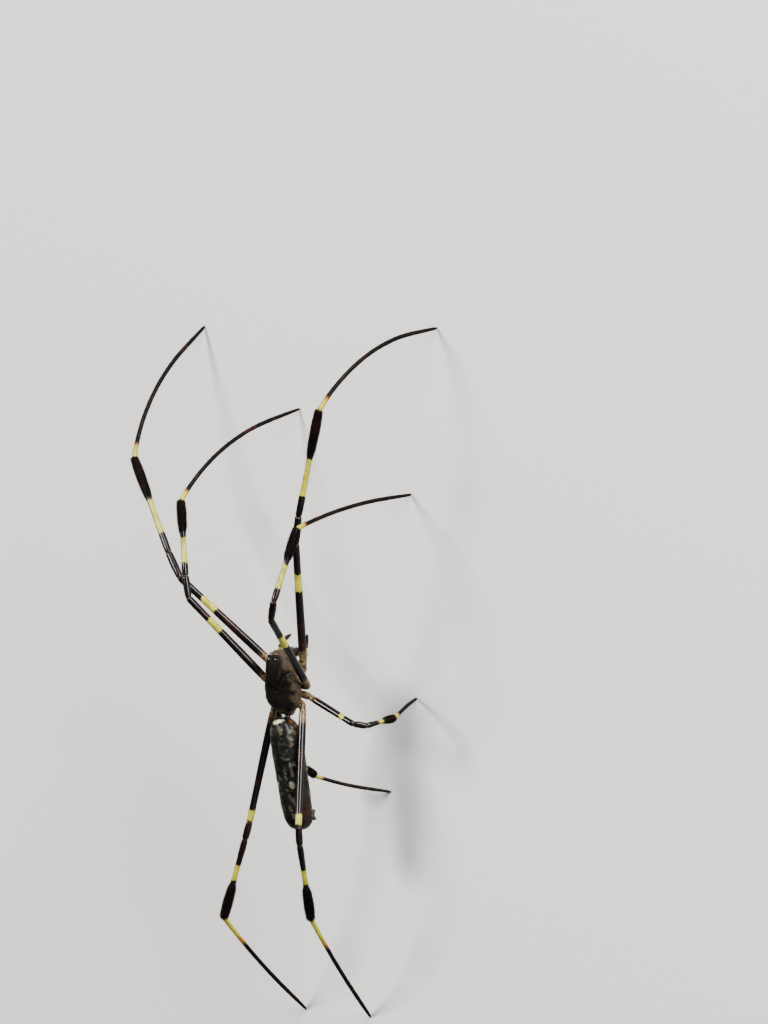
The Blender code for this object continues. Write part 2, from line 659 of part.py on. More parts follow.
def main():
    """Build the whole model."""
    clear_scene()
    finishes = make_finishes()
    build_head(finishes)
    build_sternum(finishes)
    build_pedicel(finishes)
    build_abdomen(finishes)
    build_spinnerets(finishes)
    for side_name, side in (("left", -1), ("right", 1)):
        build_mouthparts(finishes, side_name, side)
        for number in LEG_LENGTHS:
            build_leg(number, side_name, finishes)
    place_on_floor()


main()
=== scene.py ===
"""The looks of a life-size golden silk orb weaver that stands on its eight feet.

The forms have the places and sizes of the frame's solids, and the carapace's box says where the body
stands. Skins of fine mesh take the place of the solids, and coats of single mesh hairs grow out of
them. Lengths are in millimetres, measured from the middle of the body, and become metres in the
frame where a mesh is made. The spider faces +Y, its back is towards +Z and its right side towards
+X.
"""
from __future__ import annotations

import logging
import math
import sys
from dataclasses import dataclass, field
from enum import Enum

import bpy
import numpy as np
from mathutils import Matrix, Vector

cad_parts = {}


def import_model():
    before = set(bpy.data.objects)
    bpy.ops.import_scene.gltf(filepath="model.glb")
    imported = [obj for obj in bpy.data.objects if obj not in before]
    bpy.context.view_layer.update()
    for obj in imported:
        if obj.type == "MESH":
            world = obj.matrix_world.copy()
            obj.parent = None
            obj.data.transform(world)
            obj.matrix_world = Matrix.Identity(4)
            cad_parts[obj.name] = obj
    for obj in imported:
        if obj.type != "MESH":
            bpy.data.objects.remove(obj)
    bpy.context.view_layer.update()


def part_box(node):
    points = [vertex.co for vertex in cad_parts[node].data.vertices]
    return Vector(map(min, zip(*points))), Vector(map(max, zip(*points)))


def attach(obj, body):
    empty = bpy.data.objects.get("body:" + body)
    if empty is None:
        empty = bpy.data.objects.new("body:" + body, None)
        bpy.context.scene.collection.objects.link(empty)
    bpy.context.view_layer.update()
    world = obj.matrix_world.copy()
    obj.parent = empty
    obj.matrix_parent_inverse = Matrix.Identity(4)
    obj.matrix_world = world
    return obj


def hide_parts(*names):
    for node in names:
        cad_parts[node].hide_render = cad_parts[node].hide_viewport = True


LOG = logging.getLogger("spider")
Array = np.ndarray
Draws = np.random.Generator
Material = bpy.types.Material
Node = bpy.types.Node
Socket = bpy.types.NodeSocket
Tree = bpy.types.NodeTree
Colour = tuple[float, float, float]
Point = tuple[float, float, float]
Route = tuple[Point, ...]
Pairs = tuple[tuple[float, float], ...]

MM = 0.001
BODY = "root"
SEED = 1107
# The height of the body's middle over the floor, and the carapace's rear edge behind that middle
STAND_HEIGHT = 14.4
CARAPACE_REAR = -3.3
# The size of a hair's patch in the bake map
PATCH_SIZE = 0.003
# The rings in a limb's round end, and that end's length as a share of its radius
CAP_STEPS = 5
CAP_BULGE = 0.8
# The depth that stands for a place far outside any marking
OUTSIDE = -2.0
# The start of the names of marks that only hair reads
HAIR_MARK = "hair_"
# The sockets of node groups that carry a colour, where the others carry a number
COLOUR_SOCKETS = {"Colour", "Tip Colour", "First", "Second", "Hair"}


class Side(Enum):
    """A side of the body, with the sign of its x."""

    LEFT = -1
    RIGHT = 1

    @property
    def label(self) -> str:
        """The side's word in a piece's name."""
        return self.name.lower()


class Slot(Enum):
    """The record's material slots."""

    CARAPACE = "carapace_hair"
    DARK = "dark_cuticle"
    BROWN = "brown_cuticle"
    ABDOMEN = "abdomen_skin"
    LEG = "leg_cuticle"
    EYE = "eye_lens"


class Segment(Enum):
    """The segments of a leg, from the body out."""

    COXA = 0
    FEMUR = 1
    PATELLA = 2
    TIBIA = 3
    METATARSUS = 4
    TARSUS = 5


def unit(vectors: Array) -> Array:
    """Return vectors scaled to length one."""
    return vectors / np.maximum(np.linalg.norm(vectors, axis=-1, keepdims=True), 1e-12)


def smoothstep(low: float, high: float, value: Array) -> Array:
    """Return 0 below low, 1 above high and a smooth rise between."""
    t = np.clip((value - low) / (high - low), 0.0, 1.0)
    return t * t * (3.0 - 2.0 * t)


def bell(distance: Array, width: float) -> Array:
    """Return 1 at no distance, falling off in a bell of that width."""
    return np.exp(-(distance / width) ** 2)


def read_profile(profile: Pairs, share: Array) -> Array:
    """Return a profile of (share, value) pairs read at shares."""
    pairs = np.array(profile)
    return np.interp(share, pairs[:, 0], pairs[:, 1])


def eased_profile(profile: Pairs, share: Array) -> Array:
    """Return a profile read at shares with no crease at its points."""
    shares, values = np.array(profile).T
    slopes = np.gradient(values, shares)
    index = np.clip(np.searchsorted(shares, share, side="right") - 1, 0, len(shares) - 2)
    span = shares[index + 1] - shares[index]
    t = (share - shares[index]) / span
    return ((2 * t ** 3 - 3 * t ** 2 + 1) * values[index] + (t ** 3 - 2 * t ** 2 + t) * span * slopes[index]
            + (3 * t ** 2 - 2 * t ** 3) * values[index + 1] + (t ** 3 - t ** 2) * span * slopes[index + 1])


def spline(route: Array, count: int) -> Array:
    """Return points on a smooth curve through a route's points."""
    route = np.asarray(route, float)
    padded = np.vstack([2 * route[0] - route[1], route, 2 * route[-1] - route[-2]])
    place = np.linspace(0.0, len(route) - 1, count)
    index = np.minimum(place.astype(int), len(route) - 2)
    t = (place - index)[:, None]
    a, b, c, d = (padded[index + step] for step in range(4))
    return 0.5 * (2 * b + (c - a) * t + (2 * a - 5 * b + 4 * c - d) * t ** 2
                  + (3 * b - a - 3 * c + d) * t ** 3)


def direction(heading: float, pitch: float, side: Side) -> Array:
    """Return the unit vector of a heading and a pitch in degrees on one side."""
    turn, rise = math.radians(heading), math.radians(pitch)
    return np.array([side.value * math.cos(rise) * math.sin(turn), math.cos(rise) * math.cos(turn),
                     math.sin(rise)])


def mirrored(points: Array | Point | Route, side: Side) -> Array:
    """Return right-side points on a side."""
    return np.asarray(points, float) * np.array([side.value, 1.0, 1.0])


def circle(count: int) -> Array:
    """Return angles spread evenly over one turn."""
    return np.linspace(0.0, 2.0 * math.pi, count, endpoint=False)


def add_object(name: str, data: bpy.types.ID) -> bpy.types.Object:
    """Return a new object in the scene."""
    made = bpy.data.objects.new(name, data)
    bpy.context.scene.collection.objects.link(made)
    return made


def distance_to_line(x: Array, y: Array, start: tuple[float, float], end: tuple[float, float]) -> Array:
    """Return the distance in plan from points to a straight line between two points."""
    ax, ay = start
    bx, by = end[0] - ax, end[1] - ay
    t = np.clip(((x - ax) * bx + (y - ay) * by) / (bx * bx + by * by), 0.0, 1.0)
    return np.hypot(x - ax - t * bx, y - ay - t * by)


@dataclass
class Patch:
    """Points in millimetres from the body's middle, with their faces and marks.

    A mark is a number at each point that a material reads. bake_uv has a place for each corner of
    each triangle, and only coats have it.
    """

    points: Array
    quads: Array
    triangles: Array
    marks: dict[str, Array] = field(default_factory=dict)
    bake_uv: Array | None = None

    @staticmethod
    def merged(patches: list["Patch"]) -> "Patch":
        """Return one patch of several, with a missing mark read as 0."""
        names = sorted({name for patch in patches for name in patch.marks})
        starts = np.cumsum([0] + [len(patch.points) for patch in patches])
        marks = {name: np.concatenate([patch.marks.get(name, np.zeros(len(patch.points)))
                                       for patch in patches]) for name in names}
        has_uv = all(patch.bake_uv is not None for patch in patches)
        return Patch(np.concatenate([patch.points for patch in patches]),
                     np.concatenate([patch.quads + start for patch, start in zip(patches, starts)]),
                     np.concatenate([patch.triangles + start for patch, start in zip(patches, starts)]),
                     marks, np.concatenate([patch.bake_uv for patch in patches]) if has_uv else None)


@dataclass
class Roots:
    """Where hairs stand on a skin: places, normals, the way they lie, and the skin's marks."""

    places: Array
    normals: Array
    lie: Array
    uv: Array
    marks: dict[str, Array]

    def combed(self, way: Array) -> "Roots":
        """Return the same roots with the hair lying along a direction over the skin."""
        lie = way - self.normals * (way * self.normals).sum(axis=1, keepdims=True)
        return Roots(self.places, self.normals, unit(lie), self.uv, self.marks)

    def lengthened(self, factor: float | Array) -> "Roots":
        """Return the same roots with the hair's length multiplied."""
        marks = dict(self.marks)
        marks["hair_length"] = marks["hair_length"] * factor
        return Roots(self.places, self.normals, self.lie, self.uv, marks)


@dataclass
class Surface:
    """A closed skin laid out as rows of rings, with marks at its points."""

    rings: Array
    marks: dict[str, Array] = field(default_factory=dict)

    def __post_init__(self) -> None:
        """Spread each mark over the rings."""
        rows, columns = self.rings.shape[:2]
        for name, value in self.marks.items():
            value = np.asarray(value, float)
            self.marks[name] = np.array(np.broadcast_to(value[:, None] if value.ndim == 1 else value,
                                                        (rows, columns)))

    def raw_normals(self) -> Array:
        """Return the cross product of the ring and the row direction at each point."""
        along = np.gradient(self.rings, axis=0)
        around = np.roll(self.rings, -1, axis=1) - np.roll(self.rings, 1, axis=1)
        return unit(np.cross(around, along))

    def turn(self) -> float:
        """Return 1 if the raw normals point out of the rings, or else -1."""
        outward = self.rings - self.rings.mean(axis=1, keepdims=True)
        return 1.0 if float((self.raw_normals() * outward).sum()) > 0 else -1.0

    def normals(self) -> Array:
        """Return the outward normal at each point."""
        return self.raw_normals() * self.turn()

    def displaced(self, height: Array) -> "Surface":
        """Return the skin moved along its normals by a height at each point."""
        return Surface(self.rings + self.normals() * height[..., None], dict(self.marks))

    def patch(self) -> Patch:
        """Return the skin as quads with a fan of triangles over each end."""
        rows, columns = self.rings.shape[:2]
        index = np.arange(rows * columns).reshape(rows, columns)
        after = np.roll(index, -1, axis=1)
        quads = np.stack([index[:-1], after[:-1], after[1:], index[1:]], axis=-1).reshape(-1, 4)
        middles = np.stack([self.rings[0].mean(axis=0), self.rings[-1].mean(axis=0)])
        first, last = rows * columns, rows * columns + 1
        low = np.stack([after[0], index[0], np.full(columns, first)], axis=-1)
        high = np.stack([index[-1], after[-1], np.full(columns, last)], axis=-1)
        triangles = np.concatenate([low, high])
        if self.turn() < 0:
            quads, triangles = quads[:, ::-1], triangles[:, ::-1]
        marks = {name: np.concatenate([value.ravel(), [value[0].mean(), value[-1].mean()]])
                 for name, value in self.marks.items()}
        return Patch(np.concatenate([self.rings.reshape(-1, 3), middles]), quads, triangles, marks)

    def scatter(self, density: Array, rng: Draws) -> Roots:
        """Return roots spread over the skin, with hair that lies from the first ring to the last.

        Args:
            density: hairs for each square millimetre, at each row or at each point.
            rng: the seeded random draws.

        Returns:
            The roots, with the skin's marks read at each.
        """
        rows, columns = self.rings.shape[:2]
        density = np.asarray(density, float)
        density = np.broadcast_to(density[:, None] if density.ndim == 1 else density, (rows, columns))
        after = np.roll(self.rings, -1, axis=1)
        area = np.linalg.norm(np.cross(self.rings[1:] - self.rings[:-1], after[:-1] - self.rings[:-1]),
                              axis=-1)
        weight = (area * 0.5 * (density[1:] + density[:-1])).ravel()
        total = weight.sum()
        count = int(round(total))
        cell = np.minimum(np.searchsorted(np.cumsum(weight), rng.random(count) * total), len(weight) - 1)
        row, column = np.divmod(cell, columns)
        down, across = rng.random(count), rng.random(count)
        following = (column + 1) % columns

        def read(grid: Array) -> Array:
            """Return a grid's values at the roots, blended from the four points round each."""
            a, b = (down[:, None], across[:, None]) if grid.ndim == 3 else (down, across)
            return ((grid[row, column] * (1 - a) + grid[row + 1, column] * a) * (1 - b)
                    + (grid[row, following] * (1 - a) + grid[row + 1, following] * a) * b)

        uv = np.stack([(row + down) / (rows - 1), (column + across) / columns], axis=-1)
        normals = unit(read(self.normals()))
        lie = read(np.gradient(self.rings, axis=0))
        lie = unit(lie - normals * (lie * normals).sum(axis=1, keepdims=True))
        return Roots(read(self.rings), normals, lie, uv * (1.0 - PATCH_SIZE),
                     {name: read(value) for name, value in self.marks.items()})


def tube_frames(points: Array) -> tuple[Array, Array]:
    """Return two directions across a line at each of its points, carried along without twist."""
    along = unit(np.gradient(points, axis=0))
    seed = np.array([0.0, 0.0, 1.0]) if abs(along[0, 2]) < 0.9 else np.array([1.0, 0.0, 0.0])
    across = np.cross(along[0], seed)
    sideways, upward = [], []
    for way in along:
        across = unit(across - way * np.dot(across, way))
        sideways.append(across)
        upward.append(np.cross(across, way))
    return np.array(sideways), np.array(upward)


def tube_rings(points: Array, radii: Array, sides: int) -> Array:
    """Return rings round a line of points."""
    sideways, upward = tube_frames(points)
    angles = circle(sides)
    spokes = (np.cos(angles)[None, :, None] * sideways[:, None, :]
              + np.sin(angles)[None, :, None] * upward[:, None, :])
    return points[:, None, :] + spokes * np.asarray(radii)[:, None, None]


def rounded_ends(points: Array, radii: Array) -> tuple[Array, Array]:
    """Return a line and its radii with a round cap added past each end."""
    first, last = unit(points[0] - points[1]), unit(points[-1] - points[-2])
    turns = np.linspace(0.0, 0.5 * math.pi, CAP_STEPS + 1)[1:]
    turns[-1] *= 0.96
    head = np.array([points[0] + first * radii[0] * CAP_BULGE * math.sin(turn) for turn in turns[::-1]])
    tail = np.array([points[-1] + last * radii[-1] * CAP_BULGE * math.sin(turn) for turn in turns])
    return (np.concatenate([head, points, tail]),
            np.concatenate([radii[0] * np.cos(turns[::-1]), radii, radii[-1] * np.cos(turns)]))


def lobe(centre: Point, radii: Point, lean: float = 0.0,
         rows: int = 24, columns: int = 28) -> Surface:
    """Return an egg-shaped skin about a place.

    Args:
        centre: its middle.
        radii: half its size across, lengthwise and in height.
        lean: its turn about the upright, in degrees.
        rows: rings from rear to front.
        columns: points in a ring.

    Returns:
        The skin.
    """
    turn = np.linspace(0.03, math.pi - 0.03, rows)
    angle = circle(columns)
    x = radii[0] * np.sin(turn)[:, None] * np.cos(angle)[None, :]
    z = radii[2] * np.sin(turn)[:, None] * np.sin(angle)[None, :]
    y = np.broadcast_to(-radii[1] * np.cos(turn)[:, None], x.shape)
    c, s = math.cos(math.radians(lean)), math.sin(math.radians(lean))
    return Surface(np.stack([x * c - y * s, x * s + y * c, z], axis=-1) + np.array(centre))


@dataclass(frozen=True)
class Coat:
    """One kind of hair: its size and how it stands.

    length is a share of the skin's own hair_length mark, lift the angle over the skin at the root
    in degrees, settle the share of that angle lost by the tip, and stray the turn sideways. sink is
    how deep the root stands in the skin, and steps how many parts a hair's length has.
    """

    radius: float
    length: tuple[float, float] = (0.75, 1.2)
    lift: tuple[float, float] = (12.0, 26.0)
    settle: float = 0.7
    stray: float = 14.0
    sink: float = 0.012
    steps: int = 2

    def grow(self, roots: Roots, rng: Draws) -> Patch:
        """Return a closed tapering hair of three sides at each root."""
        count = len(roots.places)
        length = roots.marks["hair_length"] * rng.uniform(*self.length, count)
        lift = np.radians(rng.uniform(*self.lift, count))
        stray = np.radians(rng.normal(0.0, self.stray, count))
        across = np.cross(roots.normals, roots.lie)
        lie = roots.lie * np.cos(stray)[:, None] + across * np.sin(stray)[:, None]
        across = np.cross(roots.normals, lie)
        spin = rng.uniform(0.0, 2.0 * math.pi, count)
        angles = spin[:, None] + np.arange(3) * 2.0 * math.pi / 3.0
        spokes = (np.cos(angles)[..., None] * across[:, None, :]
                  + np.sin(angles)[..., None] * roots.normals[:, None, :])
        centre = roots.places - roots.normals * self.sink
        rings = []
        for step in range(self.steps):
            t = step / self.steps
            rings.append(centre[:, None, :] + spokes * self.radius * (1.0 - t) ** 0.7)
            rise = lift * (1.0 - self.settle * (t + 0.5 / self.steps))
            way = lie * np.cos(rise)[:, None] + roots.normals * np.sin(rise)[:, None]
            centre = centre + way * (length / self.steps)[:, None]
        points = np.concatenate([*rings, centre[:, None, :]], axis=1)
        each = points.shape[1]
        shape, places = self.pattern()
        triangles = (np.arange(count)[:, None, None] * each + shape[None]).reshape(-1, 3)
        uv = (roots.uv[:, None, None, :] + places[None] * PATCH_SIZE).reshape(-1, 2)
        marks = {name: np.repeat(value, each) for name, value in roots.marks.items()
                 if not name.startswith(HAIR_MARK)}
        marks["tone"] = np.repeat(rng.random(count), each)
        marks["tip"] = np.tile(np.minimum(np.arange(each) // 3 / self.steps, 1.0), count)
        return Patch(points.reshape(-1, 3), np.zeros((0, 4), int), triangles, marks, uv)

    def pattern(self) -> tuple[Array, Array]:
        """Return one hair's triangles, and the place of each corner in its patch of the bake map."""
        faces: list[tuple[int, int, int]] = [(2, 1, 0)]
        for step in range(self.steps - 1):
            for side in range(3):
                a, b = step * 3 + side, step * 3 + (side + 1) % 3
                faces += [(a, b, b + 3), (a, b + 3, a + 3)]
        base = (self.steps - 1) * 3
        faces += [(base + side, base + (side + 1) % 3, base + 3) for side in range(3)]
        shape = np.array(faces)
        return shape, np.stack([(shape // 3) / self.steps, (shape % 3) / 2.0], axis=-1)


class Workshop:
    """Turns patches into pieces of the model and reports them."""

    def __init__(self, origin: Array) -> None:
        """Keep the body's middle in the frame, in millimetres."""
        self.origin = origin

    def piece(self, name: str, patch: Patch, finish: Material,
              replaced: tuple[str, ...] = ()) -> bpy.types.Object:
        """Make one piece of the model.

        Args:
            name: the piece's name.
            patch: its points, faces and marks.
            finish: its material.
            replaced: the frame's nodes that it stands for.

        Returns:
            The new object, riding on the body.
        """
        mesh = bpy.data.meshes.new(name)
        places = (patch.points + self.origin) * MM
        # No point goes under the floor
        places[:, 2] = np.maximum(places[:, 2], 0.0)
        corners = np.concatenate([patch.quads.ravel(), patch.triangles.ravel()]).astype(np.int32)
        starts = np.concatenate([np.arange(len(patch.quads)) * 4,
                                 len(patch.quads) * 4 + np.arange(len(patch.triangles)) * 3])
        mesh.vertices.add(len(places))
        mesh.vertices.foreach_set("co", places.astype(np.float32).ravel())
        mesh.loops.add(len(corners))
        mesh.loops.foreach_set("vertex_index", corners)
        mesh.polygons.add(len(starts))
        mesh.polygons.foreach_set("loop_start", starts.astype(np.int32))
        mesh.update(calc_edges=True)
        mesh.validate()
        mesh.shade_smooth()
        for mark, values in patch.marks.items():
            if not mark.startswith(HAIR_MARK):
                layer = mesh.attributes.new(mark, "FLOAT", "POINT")
                layer.data.foreach_set("value", values.astype(np.float32))
        if patch.bake_uv is not None:
            layer = mesh.uv_layers.new(name="OFBake")
            layer.data.foreach_set("uv", patch.bake_uv.astype(np.float32).ravel())
        mesh.materials.append(finish)
        made = add_object(name, mesh)
        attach(made, BODY)
        if replaced:
            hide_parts(*replaced)
        LOG.info("%s: %d triangles", name, 2 * len(patch.quads) + len(patch.triangles))
        return made


class Wiring:
    """Adds and links shader nodes in one tree."""

    def __init__(self, tree: Tree) -> None:
        """Keep the tree."""
        self.tree = tree

    def add(self, kind: str, **settings: object) -> Node:
        """Return a new node with its properties set."""
        node = self.tree.nodes.new(kind)
        for name, value in settings.items():
            setattr(node, name, value)
        return node

    def feed(self, socket: Socket, value: object) -> None:
        """Link a socket to an input, or set the input to a plain value."""
        if isinstance(value, Socket):
            self.tree.links.new(value, socket)
        elif isinstance(value, tuple) and len(value) == 3 and socket.type == "RGBA":
            socket.default_value = (*value, 1.0)
        else:
            socket.default_value = value

    def math(self, operation: str, first: object, second: object) -> Socket:
        """Return the result of a math node."""
        node = self.add("ShaderNodeMath", operation=operation)
        self.feed(node.inputs[0], first)
        self.feed(node.inputs[1], second)
        return node.outputs[0]

    def plus(self, first: object, second: object) -> Socket:
        """Return the sum of two values."""
        return self.math("ADD", first, second)

    def minus(self, first: object, second: object) -> Socket:
        """Return the first value less the second."""
        return self.math("SUBTRACT", first, second)

    def times(self, first: object, second: object) -> Socket:
        """Return the product of two values."""
        return self.math("MULTIPLY", first, second)

    def blend(self, factor: object, first: object, second: object) -> Socket:
        """Return two colours mixed by a factor."""
        node = self.add("ShaderNodeMix", data_type="RGBA", clamp_factor=True)
        self.feed(node.inputs[0], factor)
        # The node's sockets for colours are inputs 6 and 7 and output 2
        self.feed(node.inputs[6], first)
        self.feed(node.inputs[7], second)
        return node.outputs[2]

    def span(self, value: object, low: object, high: object, start: object = 0.0,
             end: object = 1.0) -> Socket:
        """Return a value's smooth rise from start to end between low and high."""
        node = self.add("ShaderNodeMapRange", interpolation_type="SMOOTHSTEP")
        for socket, given in zip(node.inputs, (value, low, high, start, end)):
            self.feed(socket, given)
        return node.outputs[0]

    def mark(self, name: str) -> Socket:
        """Return a mesh's mark."""
        return self.add("ShaderNodeAttribute", attribute_name=name).outputs["Fac"]

    def millimetres(self) -> Socket:
        """Return the place on the object in millimetres."""
        place = self.add("ShaderNodeTexCoord").outputs["Object"]
        node = self.add("ShaderNodeVectorMath", operation="SCALE")
        self.feed(node.inputs[0], place)
        node.inputs["Scale"].default_value = 1.0 / MM
        return node.outputs[0]

    def noise(self, place: Socket, scale: object, detail: float = 3.0,
              rough: float = 0.55) -> Socket:
        """Return a cloudy value about 0.5 with a scale in turns for each millimetre."""
        node = self.add("ShaderNodeTexNoise")
        self.feed(node.inputs["Vector"], place)
        self.feed(node.inputs["Scale"], scale)
        node.inputs["Detail"].default_value = detail
        node.inputs["Roughness"].default_value = rough
        return node.outputs["Fac"]

    def group(self, made: Tree, **inputs: object) -> Node:
        """Return a node of a shared group with its inputs fed by name, where _ stands for a space."""
        node = self.add("ShaderNodeGroup", node_tree=made)
        for name, value in inputs.items():
            self.feed(node.inputs[name.replace("_", " ")], value)
        return node


def new_group(name: str, inputs: tuple[str, ...], outputs: tuple[str, ...]) -> tuple[Wiring, dict, dict]:
    """Start a node group.

    Args:
        name: the group's name.
        inputs: the names of its inputs.
        outputs: the names of its outputs.

    Returns:
        The group's wiring, its input sockets by name and the sockets that its outputs are fed by.
    """
    tree = bpy.data.node_groups.new(name, "ShaderNodeTree")
    for way, titles in (("INPUT", inputs), ("OUTPUT", outputs)):
        for title in titles:
            kind = "NodeSocketColor" if title in COLOUR_SOCKETS else "NodeSocketFloat"
            tree.interface.new_socket(name=title, in_out=way, socket_type=kind)
    wiring = Wiring(tree)
    source, target = wiring.add("NodeGroupInput"), wiring.add("NodeGroupOutput")
    return (wiring, {title: source.outputs[title] for title in inputs},
            {title: target.inputs[title] for title in outputs})


class Effects:
    """The shader groups that several finishes share."""

    def __init__(self) -> None:
        """Build each group once."""
        self.soft_edge = self.build_soft_edge()
        self.relief = self.build_relief()
        self.mottle = self.build_mottle()
        self.hair_tone = self.build_hair_tone()

    def build_soft_edge(self) -> Tree:
        """Return the group that turns a depth in millimetres into a mask with a wandering edge."""
        wiring, given, out = new_group("soft_edge", ("Depth", "Blur", "Wander", "Scale"), ("Mask",))
        cloud = wiring.noise(wiring.millimetres(), given["Scale"], 2.0)
        sway = wiring.times(wiring.minus(cloud, 0.5), given["Wander"])
        depth = wiring.plus(given["Depth"], sway)
        low = wiring.times(given["Blur"], -1.0)
        wiring.feed(out["Mask"], wiring.span(depth, low, given["Blur"]))
        return wiring.tree

    def build_relief(self) -> Tree:
        """Return the group of fine pits, hair sockets and clouded gloss of a cuticle."""
        wiring, given, out = new_group("cuticle_relief", ("Scale", "Pits", "Waves", "Rough", "Gloss Change"),
                                       ("Height", "Roughness"))
        place = wiring.millimetres()
        cells = wiring.add("ShaderNodeTexVoronoi")
        wiring.feed(cells.inputs["Vector"], place)
        wiring.feed(cells.inputs["Scale"], given["Scale"])
        pits = wiring.times(wiring.span(cells.outputs["Distance"], 0.0, 0.35), given["Pits"])
        broad = wiring.noise(place, wiring.times(given["Scale"], 0.22), 3.0)
        fine = wiring.noise(place, wiring.times(given["Scale"], 2.2), 2.0)
        waves = wiring.times(wiring.plus(broad, wiring.times(fine, 0.25)), given["Waves"])
        wiring.feed(out["Height"], wiring.plus(pits, waves))
        change = wiring.times(wiring.minus(broad, 0.5), given["Gloss Change"])
        wiring.feed(out["Roughness"], wiring.plus(given["Rough"], change))
        return wiring.tree

    def build_mottle(self) -> Tree:
        """Return the group that clouds one colour with another."""
        wiring, given, out = new_group("mottle", ("First", "Second", "Scale", "Cover"), ("Colour",))
        cloud = wiring.noise(wiring.millimetres(), given["Scale"], 4.0, 0.6)
        line = wiring.minus(1.0, given["Cover"])
        mask = wiring.span(cloud, wiring.minus(line, 0.14), wiring.plus(line, 0.14))
        wiring.feed(out["Colour"], wiring.blend(mask, given["First"], given["Second"]))
        return wiring.tree

    def build_hair_tone(self) -> Tree:
        """Return the group that makes each hair a little darker or paler and its tip different."""
        wiring, given, out = new_group("hair_tone", ("Colour", "Tip Colour", "Tone", "Tip", "Spread"),
                                       ("Colour",))
        shift = wiring.times(wiring.minus(given["Tone"], 0.5), given["Spread"])
        level = wiring.plus(1.0, shift)
        toned = wiring.add("ShaderNodeVectorMath", operation="SCALE")
        wiring.feed(toned.inputs[0], given["Colour"])
        wiring.feed(toned.inputs["Scale"], level)
        wiring.feed(out["Colour"], wiring.blend(given["Tip"], toned.outputs[0], given["Tip Colour"]))
        return wiring.tree


@dataclass(frozen=True)
class Gloss:
    """The plain numbers of a finish: roughness, clear coat, reflection and relief.

    change is how much the roughness wanders, relief the depth of the relief in millimetres, pits
    and waves the shares of its two forms, and scale how many pits stand on a millimetre.
    """

    roughness: float
    change: float = 0.12
    coat: float = 0.0
    coat_roughness: float = 0.2
    specular: float = 0.5
    relief: float = 0.012
    pits: float = 0.12
    waves: float = 0.8
    scale: float = 9.0


class Finish:
    """A named material with a shader and its wiring."""

    def __init__(self, name: str, effects: Effects, gloss: Gloss) -> None:
        """Make the material and set its plain numbers."""
        self.material = bpy.data.materials.new(name)
        self.material.use_nodes = True
        self.wiring = Wiring(self.material.node_tree)
        self.shader = self.material.node_tree.nodes["Principled BSDF"]
        self.effects = effects
        self.gloss = gloss
        self.shader.inputs["Coat Weight"].default_value = gloss.coat
        self.shader.inputs["Coat Roughness"].default_value = gloss.coat_roughness
        self.shader.inputs["Specular IOR Level"].default_value = gloss.specular

    def dress(self, colour: object, relief: bool = True, rough: object = None) -> Material:
        """Feed the colour, roughness and relief, and return the material."""
        wiring = self.wiring
        wiring.feed(self.shader.inputs["Base Color"], colour)
        if not relief:
            self.shader.inputs["Roughness"].default_value = self.gloss.roughness
            return self.material
        made = wiring.group(self.effects.relief, Scale=self.gloss.scale, Pits=self.gloss.pits,
                            Waves=self.gloss.waves, Gloss_Change=self.gloss.change,
                            Rough=self.gloss.roughness if rough is None else rough)
        wiring.feed(self.shader.inputs["Roughness"], made.outputs["Roughness"])
        bump = wiring.add("ShaderNodeBump")
        bump.inputs["Strength"].default_value = 1.0
        bump.inputs["Distance"].default_value = self.gloss.relief * MM
        wiring.feed(bump.inputs["Height"], made.outputs["Height"])
        wiring.feed(self.shader.inputs["Normal"], bump.outputs["Normal"])
        return self.material


@dataclass(frozen=True)
class LegColours:
    """The colours along a leg."""

    dark: Colour = (0.0042, 0.0028, 0.0028)
    rust: Colour = (0.020, 0.0062, 0.0046)
    pale: Colour = (0.27, 0.25, 0.042)
    olive: Colour = (0.160, 0.148, 0.026)
    buff: Colour = (0.125, 0.087, 0.044)
    umber: Colour = (0.018, 0.011, 0.007)
    amber: Colour = (0.28, 0.14, 0.027)
    membrane: Colour = (0.034, 0.020, 0.013)


@dataclass(frozen=True)
class AbdomenColours:
    """The colours of the abdomen."""

    ground: Colour = (0.0046, 0.0042, 0.0043)
    slate: Colour = (0.011, 0.0118, 0.0110)
    grey: Colour = (0.062, 0.057, 0.040)
    pale: Colour = (0.20, 0.195, 0.140)
    cap: Colour = (0.43, 0.41, 0.25)
    bar: Colour = (0.026, 0.025, 0.017)
    red: Colour = (0.022, 0.0070, 0.0054)
    orange: Colour = (0.100, 0.040, 0.009)


@dataclass(frozen=True)
class ShieldColours:
    """The colours of the carapace and of its hair."""

    dark: Colour = (0.0060, 0.0046, 0.0042)
    brown: Colour = (0.034, 0.023, 0.014)
    dark_hair: Colour = (0.0080, 0.0066, 0.0056)
    pale_hair: Colour = (0.090, 0.072, 0.049)


